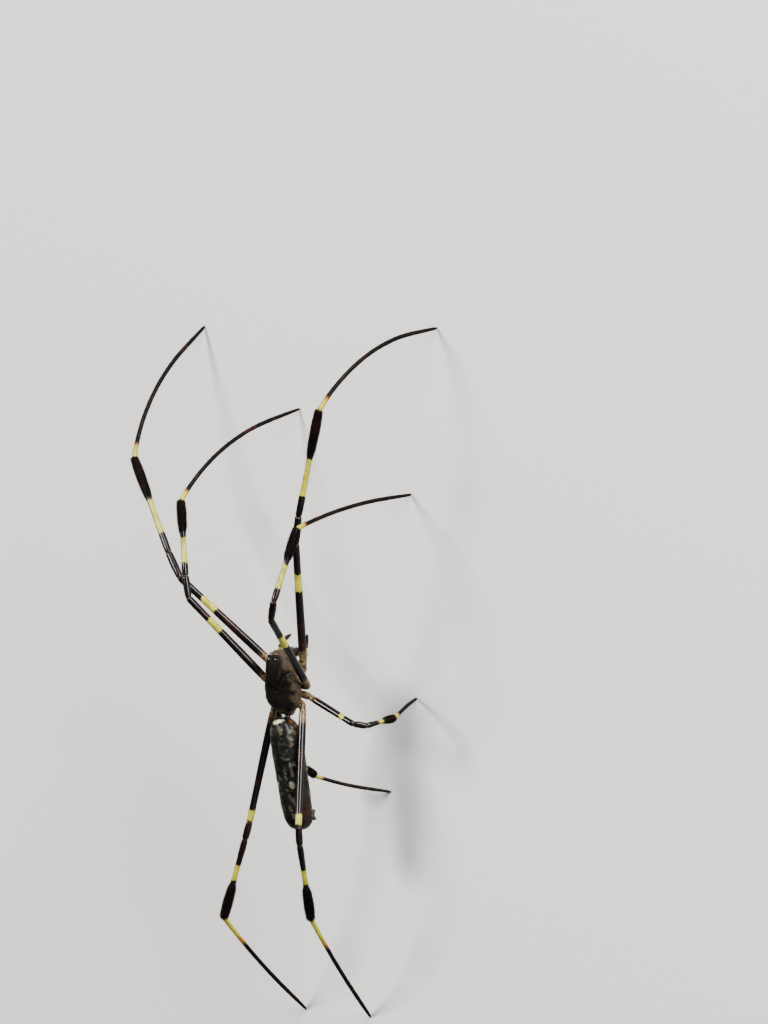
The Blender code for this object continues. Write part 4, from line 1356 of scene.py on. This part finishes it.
    def hair_cover(self, surface: Surface) -> tuple[Array, Array]:
        """Return how much hair covers each place, from 0 to 1, and how bare each place is."""
        normals = surface.normals()
        x, y = surface.rings[..., 0], surface.rings[..., 1]
        bare = np.zeros(x.shape)
        for places in self.eye_places().values():
            for place in places:
                gap = np.linalg.norm(surface.rings - place, axis=-1)
                bare = np.maximum(bare, 1.0 - smoothstep(0.20, 0.34, gap))
        # Only the front pair of grooves is bare
        for line, _ in self.grooves(surface.rings)[:2]:
            bare = np.maximum(bare, 0.75 * bell(line, 0.11))
        bare = np.maximum(bare, 0.8 * bell(x, 0.2) * bell(y - self.fovea[1], 0.2))
        patchy = 0.72 + 0.28 * np.sin(2.3 * x + 1.0) * np.sin(1.9 * y + 0.4)
        above = smoothstep(-0.25, 0.1, normals[..., 2]) * (surface.rings[..., 2] > self.shield.rim - 0.08)
        return above * (1.0 - bare) * patchy, bare

    def coat(self, surface: Surface, rng: Draws) -> Patch:
        """Return the short flat hair and the longer hair over it.

        It lies forwards and down the face, and backwards over the waist behind the parting.
        """
        cover = surface.marks["hair_density"]
        patches = []
        for coat, density, factor in (
                (Coat(radius=0.011, lift=(10.0, 26.0), stray=22.0, steps=1), self.under_density, 0.85),
                (Coat(radius=0.012, lift=(18.0, 42.0), stray=26.0), self.over_density, 1.25)):
            roots = surface.scatter(cover * density, rng)
            aside = np.sign(roots.places[:, 0]) * -0.25
            ahead = np.where(roots.places[:, 1] < self.parting, -1.0, 1.0)
            way = np.stack([aside, ahead, np.full_like(aside, -0.45)], axis=-1)
            patches.append(coat.grow(roots.combed(unit(way)).lengthened(factor), rng))
        return Patch.merged(patches)

    def lenses(self, places: list[Array]) -> Patch:
        """Return the domed lenses of a group of eyes."""
        size = self.eye_radius
        return Patch.merged([lobe(tuple(place), (size, size, size)).patch() for place in places])

    def build(self, shop: Workshop, finishes: Finishes, rng: Draws) -> None:
        """Make the shield, its hair and the eyes."""
        surface = self.surface()
        shop.piece("carapace_shield", surface.patch(), finishes.carapace_skin, ("carapace",))
        shop.piece("carapace_coat", self.coat(surface, rng), finishes.carapace_hair)
        for node, places in self.eye_places().items():
            shop.piece(f"{node}_lenses", self.lenses(places), finishes.lens, (node,))


@dataclass
class Mouthparts:
    """The chelicerae with their fangs, the palps, and the plates round the mouth."""

    jaw_route: Route = ((0.64, 3.38, -0.20), (0.70, 3.86, -1.50), (0.70, 3.92, -2.75))
    jaw_radii: tuple[float, ...] = (0.44, 0.53, 0.55, 0.50, 0.36)
    jaw_inner_width: float = 1.30
    jaw_density: float = 62.0
    boss: Point = (1.02, 3.66, -0.60)
    fang_route: Route = ((0.68, 3.90, -2.60), (0.62, 3.95, -2.98), (0.26, 3.66, -3.22))
    fang_radii: tuple[float, ...] = (0.17, 0.15, 0.11, 0.025)
    palp_route: Route = (
        (0.85, 2.35, -1.62), (1.00, 2.55, -1.80), (1.50, 3.00, -1.92), (2.02, 3.62, -1.90),
        (2.06, 4.35, -1.85), (1.82, 5.10, -2.20), (1.40, 5.75, -2.90))
    palp_radii: tuple[float, ...] = (0.26, 0.30, 0.30, 0.27, 0.26, 0.27, 0.26, 0.28, 0.24, 0.13)
    palp_joints: tuple[float, ...] = (0.16, 0.46, 0.58, 0.72)
    inset: float = 0.965

    def tube(self, route: Route, radii: tuple[float, ...], side: Side, rows: int, sides: int,
             joints: tuple[float, ...] = ()) -> Surface:
        """Return a tapering limb through a route, pinched at joints, with the share along it marked."""
        share = np.linspace(0.0, 1.0, rows)
        line = spline(mirrored(route, side), rows)
        thick = eased_profile(tuple(zip(np.linspace(0.0, 1.0, len(radii)), radii)), share) * self.inset
        for joint in joints:
            past = share - joint
            thick = thick * (1.0 - 0.20 * bell(past, 0.012) + 0.05 * bell(past + 0.03, 0.02))
        points, thick = rounded_ends(line, thick)
        along = np.clip(np.arange(len(points)) - CAP_STEPS, 0, rows - 1) / (rows - 1)
        return Surface(tube_rings(points, thick, sides), {"along": along})

    def build_jaw(self, side: Side, shop: Workshop, finishes: Finishes, rng: Draws) -> None:
        """Make the jaw of one side with its hair, boss and fang."""
        jaw = self.tube(self.jaw_route, self.jaw_radii, side, 60, 44)
        middles = jaw.rings.mean(axis=1, keepdims=True)
        spokes = jaw.rings - middles
        spokes[..., 0] *= np.where(spokes[..., 0] * side.value < 0.0, self.jaw_inner_width, 1.0)
        jaw.rings = middles + spokes
        along = jaw.marks["along"]
        jaw.marks["hair_length"] = 0.22 + 0.16 * along
        shop.piece(f"jaw_{side.label}", jaw.patch(), finishes.black_plate,
                   (f"chelicera_{side.label}",))
        roots = jaw.scatter(np.where(along > 0.10, self.jaw_density, 0.0), rng)
        hair = Coat(radius=0.011, lift=(22.0, 48.0), settle=0.5).grow(roots, rng)
        shop.piece(f"jaw_{side.label}_hair", hair, finishes.dark_hair)
        boss = lobe(tuple(mirrored(self.boss, side)), (0.13, 0.17, 0.22))
        shop.piece(f"jaw_boss_{side.label}", boss.patch(), finishes.brown_skin)
        fang = self.tube(self.fang_route, self.fang_radii, side, 30, 20)
        shop.piece(f"fang_{side.label}", fang.patch(), finishes.fang)

    def build_palp(self, side: Side, shop: Workshop, finishes: Finishes, rng: Draws) -> None:
        """Make the palp of one side with its bristles."""
        palp = self.tube(self.palp_route, self.palp_radii, side, 150, 24, self.palp_joints)
        along = palp.marks["along"]
        palp.marks |= {"pale": (0.66 - along) * 6.0, "brown": 0.45 * (1.0 - smoothstep(0.1, 0.5, along)),
                       "amber": np.zeros_like(along), "membrane": np.zeros_like(along),
                       "matt": 0.3 + 0.6 * smoothstep(0.5, 0.8, along), "hair_length": 0.16 + 0.12 * along}
        shop.piece(f"palp_{side.label}_skin", palp.patch(), finishes.leg_skin,
                   (f"palp_{side.label}",))
        roots = palp.scatter(24.0 + 150.0 * smoothstep(0.5, 0.9, along), rng)
        bristles = Coat(radius=0.010, lift=(16.0, 36.0)).grow(roots, rng)
        shop.piece(f"palp_{side.label}_bristles", bristles, finishes.leg_hair)

    def build(self, shop: Workshop, finishes: Finishes, rng: Draws) -> None:
        """Make both sides and the plates between them."""
        for side in Side:
            self.build_jaw(side, shop, finishes, rng)
            self.build_palp(side, shop, finishes, rng)
            plate = lobe((side.value * 0.50, 2.45, -1.72), (0.30, 0.52, 0.30), side.value * 14.0)
            shop.piece(f"mouth_plate_{side.label}", plate.patch(), finishes.brown_skin)
        lip = lobe((0.0, 2.30, -1.74), (0.24, 0.36, 0.26))
        shop.piece("mouth_lip", lip.patch(), finishes.black_plate)


@dataclass
class Trunk:
    """What lies under the shield: the side skin, the sternum and the waist."""

    side_rows: int = 60
    side_columns: int = 48
    side_reach: tuple[float, float] = (-0.062, 0.93)
    side_middle: float = 0.434
    side_span: float = 1.01
    side_power: int = 10
    side_width: float = 0.80
    side_level: float = -0.62
    side_height: float = 0.66
    sternum_density: float = 22.0
    sternum_outline: Pairs = (
        (2.45, 0.30), (1.85, 0.42), (1.70, 0.82), (1.15, 1.06), (0.20, 1.22), (-0.95, 1.12), (-1.80, 0.76),
        (-2.45, 0.20))
    sternum_top: float = -0.75
    sternum_bottom: float = -1.66
    sternum_crown: float = 0.25
    waist_start: Point = (0.0, -2.62, -0.72)
    waist_end: Point = (0.0, -4.20, -0.33)
    waist_radius: float = 0.33

    def side_skin(self, shield: Shield) -> Surface:
        """Return the soft skin between the shield, the leg roots and the sternum."""
        share = np.linspace(*self.side_reach, self.side_rows)
        half_width = eased_profile(shield.half_width, np.maximum(share, 0.03)) * self.side_width
        from_middle = np.abs(2.0 * (share - self.side_middle) / self.side_span)
        ends = np.sqrt(np.clip(1.0 - from_middle ** self.side_power, 0.02, 1.0))
        angle = circle(self.side_columns)
        y = shield.rear + (shield.front - shield.rear) * share
        x = (half_width * ends)[:, None] * np.cos(angle)[None, :]
        z = self.side_level + self.side_height * ends[:, None] * np.sin(angle)[None, :]
        return Surface(np.stack([x, np.broadcast_to(y[:, None], x.shape), z], axis=-1))

    def sternum(self) -> Surface:
        """Return the plate between the leg roots, with soft edges and a crowned face."""
        outline = np.array(self.sternum_outline)
        y = np.linspace(outline[0, 0] - 0.04, outline[-1, 0] + 0.04, 70)
        half_width = np.interp(-y, -outline[:, 0], outline[:, 1]) * 0.97
        half_width = np.convolve(np.pad(half_width, 3, "edge"), np.hanning(9)[1:-1] / 4.0, "valid")
        angle = circle(56)
        reach = np.sign(np.cos(angle)) * np.abs(np.cos(angle)) ** 0.7
        drop = np.sign(np.sin(angle)) * np.abs(np.sin(angle)) ** 0.55
        middle = 0.5 * (self.sternum_top + self.sternum_bottom)
        half = 0.5 * (self.sternum_top - self.sternum_bottom)
        x = half_width[:, None] * reach[None, :]
        crown = self.sternum_crown * (1.0 - reach ** 2) * (drop < 0) * np.abs(drop)
        z = np.broadcast_to((middle + half * drop - crown)[None, :], x.shape)
        return Surface(np.stack([x, np.broadcast_to(y[:, None], x.shape), z], axis=-1))

    def build(self, shop: Workshop, finishes: Finishes, rng: Draws) -> None:
        """Make the side skin, the sternum with its hair, and the waist."""
        shop.piece("trunk_side_skin", self.side_skin(Shield()).patch(), finishes.brown_skin)
        plate = self.sternum()
        plate.marks["hair_length"] = np.full(plate.rings.shape[:2], 0.30)
        shop.piece("sternum_plate", plate.patch(), finishes.black_plate, ("sternum",))
        below = np.where(plate.normals()[..., 2] < -0.3, self.sternum_density, 0.0)
        hair = Coat(radius=0.011, lift=(20.0, 45.0)).grow(plate.scatter(below, rng), rng)
        shop.piece("sternum_hair", hair, finishes.dark_hair)
        share = np.linspace(0.0, 1.0, 40)[:, None]
        line = np.array(self.waist_start) * (1 - share) + np.array(self.waist_end) * share
        thick = self.waist_radius * (0.98 - 0.06 * np.sin(math.pi * share[:, 0])
                                     + 0.035 * np.sin(26.0 * share[:, 0]))
        waist = Surface(tube_rings(line, thick, 28))
        shop.piece("waist", waist.patch(), finishes.dark_skin, ("pedicel",))


@dataclass(frozen=True)
class Marking:
    """A pale mark on the abdomen.

    share is its place along the abdomen and angle its place round it in degrees, with 90 on the
    back and 0 on the right. length and width are half its size in millimetres, and turn is how far
    it is turned out of the body's line.
    """

    share: float
    angle: float
    length: float
    width: float
    turn: float = 0.0


@dataclass
class Abdomen:
    """The long abdomen with its markings, hair and spinnerets."""

    front: float = -3.85
    rear: float = -17.6
    front_radius: float = 2.14
    rear_radius: float = 1.86
    flatness: float = 0.96
    front_level: float = 0.30
    rear_level: float = -1.10
    front_shift: float = -0.12
    rear_shift: float = 0.75
    front_power: float = 6.0
    rear_power: float = 8.0
    end_root: float = 2.2
    inset: float = 0.05
    rows: int = 240
    columns: int = 168
    hair_length: float = 0.24
    hair_density: float = 78.0
    fringe_density: float = 90.0
    fringe_length: float = 2.2
    spinneret_place: float = -15.9
    dimple_shares: tuple[float, ...] = (0.17, 0.31, 0.45, 0.58, 0.71)
    dimple_angles: tuple[float, float] = (68.0, 112.0)
    cap_share: float = 0.054
    cap_reach: float = 56.0
    bar_reach: tuple[float, float] = (9.0, 48.0)
    bar_half: float = 0.10
    line_half: float = 0.09
    degree_width: float = 0.035
    pale: tuple[Marking, ...] = (Marking(0.592, 54.0, 0.46, 0.42),)
    grey: tuple[Marking, ...] = (
        Marking(0.510, 75.0, 0.55, 0.20), Marking(0.451, 48.0, 1.05, 0.17, -6.0),
        Marking(0.422, 30.0, 0.35, 0.14, -30.0), Marking(0.184, 32.0, 0.75, 0.26),
        Marking(0.714, 64.0, 1.00, 0.16, -18.0), Marking(0.806, 76.0, 0.30, 0.22, -30.0),
        Marking(0.866, 65.0, 0.26, 0.15, -40.0), Marking(0.112, 112.0, 0.50, 0.35))
    bar_shares: tuple[float, ...] = (0.22, 0.35, 0.64, 0.77)

    def section(self, share: Array) -> tuple[Array, Array, Array]:
        """Return the sideways shift, the height of the middle and the half width at shares."""
        power = np.where(share < 0.5, self.front_power, self.rear_power)
        fullness = (1.0 - np.abs(2.0 * share - 1.0) ** power) ** (1.0 / self.end_root)
        half_width = self.front_radius + (self.rear_radius - self.front_radius) * share
        level = self.front_level + (self.rear_level - self.front_level) * share
        return self.front_shift + (self.rear_shift - self.front_shift) * share, level, half_width * fullness

    def surface(self) -> Surface:
        """Return the abdomen's skin with its folds, dimples and marks."""
        turn = np.linspace(0.005, 0.995, self.rows)
        share = 0.5 - 0.5 * np.cos(math.pi * turn)
        shift, level, half_width = self.section(share)
        angle = circle(self.columns)
        x = shift[:, None] + half_width[:, None] * np.cos(angle)[None, :]
        z = level[:, None] + (half_width * self.flatness)[:, None] * np.sin(angle)[None, :]
        y = np.broadcast_to((self.front + (self.rear - self.front) * share)[:, None], x.shape)
        share_grid, degrees = np.meshgrid(share, np.degrees(angle), indexing="ij")
        plain = Surface(np.stack([x, y, z], axis=-1))
        moved = plain.displaced(self.relief(share_grid, degrees) - self.inset)
        moved.marks = self.markings(share_grid, degrees)
        ends = smoothstep(0.0, 0.002, share_grid) * smoothstep(1.0, 0.998, share_grid)
        moved.marks["hair_density"] = self.hair_density * ends
        moved.marks["hair_length"] = self.hair_length * (0.8 + 0.5 * smoothstep(0.85, 1.0, share_grid))
        return moved

    def local(self, share: Array, degrees: Array, place: float, angle: float,
              turn: float = 0.0) -> tuple[Array, Array]:
        """Return how far points lie along and across a line on the skin, in millimetres.

        The line's middle stands at a place and an angle, and the line is turned out of the body's.
        """
        length = (self.front - self.rear) * (share - place)
        around = (degrees - angle + 180.0) % 360.0 - 180.0
        width = np.radians(around) * 0.5 * (self.front_radius + self.rear_radius)
        c, s = math.cos(math.radians(turn)), math.sin(math.radians(turn))
        return length * c + width * s, width * c - length * s

    def relief(self, share: Array, degrees: Array) -> Array:
        """Return the height of dimples, folds and the belly's furrow over the plain form."""
        height = 0.012 * np.sin(58.0 * share + 1.3 * np.sin(np.radians(3 * degrees)))
        height = height + 0.022 * np.sin(17.0 * share + 2.0) * np.sin(np.radians(5.0 * degrees + 40.0))
        height = height + 0.018 * np.sin(31.0 * share) * np.cos(np.radians(9.0 * degrees))
        for place in self.dimple_shares:
            for angle in self.dimple_angles:
                along, across = self.local(share, degrees, place, angle)
                height = height - 0.09 * np.exp(-(along ** 2 + across ** 2) / 0.13 ** 2)
        belly = 1.0 - smoothstep(35.0, 75.0, np.abs(degrees - 270.0))
        height = height - 0.10 * belly * bell(share - 0.235, 0.010)
        height = height + 0.10 * belly * bell(share - 0.19, 0.03)
        for sign in (-1.0, 1.0):
            along, across = self.local(share, degrees, 0.155, 270.0 + sign * 36.0)
            gap = np.hypot(along / 0.85, across / 0.6)
            height = height + 0.05 * (1.0 - smoothstep(0.8, 1.15, gap))
        return height * smoothstep(0.0, 0.02, share) * smoothstep(1.0, 0.985, share)

    def depth(self, share: Array, degrees: Array, markings: tuple[Marking, ...]) -> Array:
        """Return how deep each place lies inside the nearest marking, on both flanks and below."""
        deepest = np.full(share.shape, OUTSIDE)
        for mark in markings:
            below = 276.0 - mark.angle
            for angle, turn in ((mark.angle, mark.turn), (180.0 - mark.angle, -mark.turn),
                                (below, -mark.turn), (180.0 - below, mark.turn)):
                along, across = self.local(share, degrees, mark.share, angle, turn)
                reach = 1.0 - np.hypot(along / mark.length, across / mark.width)
                deepest = np.maximum(deepest, reach * min(mark.length, mark.width))
        return deepest

    def markings(self, share: Array, degrees: Array) -> dict[str, Array]:
        """Return the marks that colour the abdomen."""
        length = self.front - self.rear
        across = np.abs((degrees - 90.0 + 180.0) % 360.0 - 180.0)
        radius = self.section(share)[2]
        cap = np.minimum((self.cap_share * (1.0 - (across / self.cap_reach) ** 2) - share) * length,
                         (radius - 0.85 - 0.5 * (across / self.cap_reach) ** 2) * 0.6)
        bar = np.full(share.shape, OUTSIDE)
        nearest, farthest = self.bar_reach
        for place in self.bar_shares:
            sag = 0.012 * (across / 40.0) ** 2
            inside = self.bar_half - np.abs(share - place - sag) * length
            inside = np.minimum(inside, np.minimum((farthest - across) * self.degree_width,
                                                   (across - nearest) * self.degree_width))
            bar = np.maximum(bar, inside)
        wander = np.abs(across - 128.0 - 6.0 * np.sin(9.0 * share))
        line = self.line_half - wander * self.degree_width
        line = np.minimum(line, np.minimum(share - 0.10, 0.55 - share) * length)
        red = smoothstep(0.62, 0.84, share) * smoothstep(1.0, 0.93, share)
        red = red * smoothstep(44.0, 78.0, across)
        orange = smoothstep(0.22, 0.10, share) * smoothstep(0.0, 0.03, share)
        orange = orange * smoothstep(66.0, 88.0, across)
        grey = np.maximum(self.depth(share, degrees, self.grey), line)
        return {"pale": self.depth(share, degrees, self.pale), "grey": grey, "cap": np.maximum(cap, OUTSIDE),
                "bar": bar, "red": red * smoothstep(150.0, 128.0, across),
                "orange": orange * smoothstep(150.0, 132.0, across)}

    def spinnerets(self) -> Patch:
        """Return the spinnerets on their low base, with the small tail lobe behind them."""
        place = self.spinneret_place
        share = np.array((place - self.front) / (self.rear - self.front))
        shift, level, half_width = (float(value) for value in self.section(share))
        top = level - half_width * self.flatness + 0.10
        base = np.array([[shift, place, top - drop] for drop in (0.0, 0.25, 0.45, 0.62, 0.78)])
        patches = [Surface(tube_rings(base, np.array([0.82, 0.80, 0.76, 0.68, 0.52]), 32)).patch()]
        for reach, behind, size in ((0.34, 0.30, 1.0), (0.20, -0.10, 0.7), (0.38, -0.42, 1.1)):
            for sign in (-1.0, 1.0):
                root = np.array([shift + sign * reach, place + behind, top - 0.50])
                lean = unit(np.array([-sign * 0.30, behind / 2 - 0.1, -1.0]))
                steps = np.linspace(0.0, 1.0, 16)
                line = root + lean * (steps * 0.82 * size)[:, None]
                thick = 0.26 * size * read_profile(((0.0, 1.0), (0.40, 0.98), (0.48, 0.82), (0.54, 0.88),
                                                    (0.8, 0.70), (1.0, 0.40)), steps)
                points, thick = rounded_ends(line, thick)
                patches.append(Surface(tube_rings(points, thick, 18)).patch())
        patches.append(lobe((shift, place - 0.85, top - 0.50), (0.26, 0.34, 0.24)).patch())
        return Patch.merged(patches)

    def build(self, shop: Workshop, finishes: Finishes, rng: Draws) -> None:
        """Make the abdomen's skin and coat, and the spinnerets."""
        surface = self.surface()
        shop.piece("abdomen_skin", surface.patch(), finishes.abdomen_skin, ("abdomen",))
        roots = surface.scatter(surface.marks["hair_density"], rng)
        coat = Coat(radius=0.010, lift=(10.0, 30.0), stray=18.0).grow(roots, rng)
        shop.piece("abdomen_coat", coat, finishes.abdomen_hair)
        near = smoothstep(self.front - 0.50, self.front - 0.15, surface.rings[..., 1])
        roots = surface.scatter(near * self.fringe_density, rng).lengthened(self.fringe_length)
        fringe = Coat(radius=0.011, lift=(52.0, 84.0), settle=0.3, stray=30.0).grow(roots, rng)
        shop.piece("waist_fringe", fringe, finishes.dark_hair)
        shop.piece("spinneret_cluster", self.spinnerets(), finishes.dark_skin, ("spinnerets",))


@dataclass(frozen=True)
class Lamp:
    """A soft studio lamp: where it stands from the body in metres, its size, power and colour."""

    name: str
    place: Point
    size: tuple[float, float]
    power: float
    colour: Colour


@dataclass
class Studio:
    """The pale floor, the soft lights and the camera of the photograph's framing.

    heading and elevation say where the camera stands, seen from the spider. picture_right is the
    way that runs to the right in the picture, so that the head is up in it. Pixels are those of the
    768 by 1024 frame.
    """

    heading: float = 82.96
    elevation: float = 47.98
    picture_right: Point = (0.7469, -0.0371, -0.6639)
    distance: float = 2.4
    pixels_a_millimetre: float = 8.3
    frame_width: int = 768
    frame_height: int = 1024
    body_pixel: tuple[float, float] = (284.2, 685.0)
    sensor: float = 36.0
    floor_size: float = 3.0
    floor_colour: Colour = (0.44, 0.435, 0.423)
    floor_roughness: float = 0.85
    lamps: tuple[Lamp, ...] = (
        Lamp("key", (-0.40, 0.50, 0.95), (0.28, 0.28), 20.0, (1.0, 0.98, 0.95)),
        Lamp("front_strip", (0.80, 0.68, 0.33), (1.30, 0.36), 50.0, (0.98, 0.99, 1.0)),
        Lamp("fill", (0.85, -0.50, 0.60), (0.70, 0.70), 2.0, (0.97, 0.98, 1.0)))
    world_colour: Colour = (0.90, 0.94, 1.0)
    world_strength: float = 0.16

    def view_axes(self) -> Matrix:
        """Return the camera's right, up and backward directions as a rotation."""
        toward = Vector(direction(self.heading, self.elevation, Side.RIGHT))
        right = Vector(self.picture_right)
        right = (right - toward * right.dot(toward)).normalized()
        up = toward.cross(right)
        return Matrix((right, up, toward)).transposed()

    def build_camera(self, body: Vector) -> None:
        """Place the camera so that the body's middle falls on its pixel."""
        axes = self.view_axes()
        scale = MM / self.pixels_a_millimetre
        aside = (self.frame_width / 2 - self.body_pixel[0]) * scale
        above = (self.body_pixel[1] - self.frame_height / 2) * scale
        middle = body + axes.col[0] * aside + axes.col[1] * above
        camera = bpy.data.cameras.new("camera")
        camera.sensor_width = self.sensor
        camera.lens = self.sensor * self.distance / (self.frame_height * scale)
        camera.clip_start = 0.1
        camera.clip_end = 50.0
        made = add_object("camera", camera)
        made.matrix_world = Matrix.Translation(middle + axes.col[2] * self.distance) @ axes.to_4x4()
        bpy.context.scene.camera = made

    def build_floor(self) -> None:
        """Lay the plain pale floor."""
        half = self.floor_size / 2
        mesh = bpy.data.meshes.new("floor")
        mesh.from_pydata([(-half, -half, 0), (half, -half, 0), (half, half, 0), (-half, half, 0)], [],
                         [(0, 1, 2, 3)])
        paint = bpy.data.materials.new("floor_paint")
        paint.use_nodes = True
        shader = paint.node_tree.nodes["Principled BSDF"]
        shader.inputs["Base Color"].default_value = (*self.floor_colour, 1.0)
        shader.inputs["Roughness"].default_value = self.floor_roughness
        mesh.materials.append(paint)
        floor = add_object("floor", mesh)

    def build_lights(self, body: Vector) -> None:
        """Hang the lamps, each turned to the body, in a softly lit room."""
        for lamp in self.lamps:
            light = bpy.data.lights.new(lamp.name, "AREA")
            light.shape = "RECTANGLE"
            light.size, light.size_y = lamp.size
            light.energy = lamp.power
            light.color = lamp.colour
            made = add_object(lamp.name, light)
            made.location = body + Vector(lamp.place)
            made.rotation_euler = Vector(lamp.place).to_track_quat("Z", "Y").to_euler()
        world = bpy.data.worlds.new("studio")
        world.use_nodes = True
        background = world.node_tree.nodes["Background"]
        background.inputs["Color"].default_value = (*self.world_colour, 1.0)
        background.inputs["Strength"].default_value = self.world_strength
        bpy.context.scene.world = world
        bpy.context.scene.view_settings.look = "AgX - Medium High Contrast"

    def build(self, body: Vector) -> None:
        """Make the whole studio."""
        self.build_camera(body)
        self.build_floor()
        self.build_lights(body)


def main() -> None:
    """Build the studio and every piece of the spider."""
    logging.basicConfig(level=logging.INFO, format="%(message)s", stream=sys.stdout)
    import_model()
    low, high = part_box("carapace")
    origin = np.array([(low.x + high.x) / 2 / MM, low.y / MM - CARAPACE_REAR, STAND_HEIGHT])
    Studio().build(Vector(origin * MM))
    shop = Workshop(origin)
    finishes = Finishes()
    rng = np.random.default_rng(SEED)
    Head().build(shop, finishes, rng)
    Mouthparts().build(shop, finishes, rng)
    Trunk().build(shop, finishes, rng)
    Abdomen().build(shop, finishes, rng)
    for side in Side:
        for number in LEG_PLANS:
            Leg(number, side).build(shop, finishes, rng)


if __name__ == "__main__":
    main()
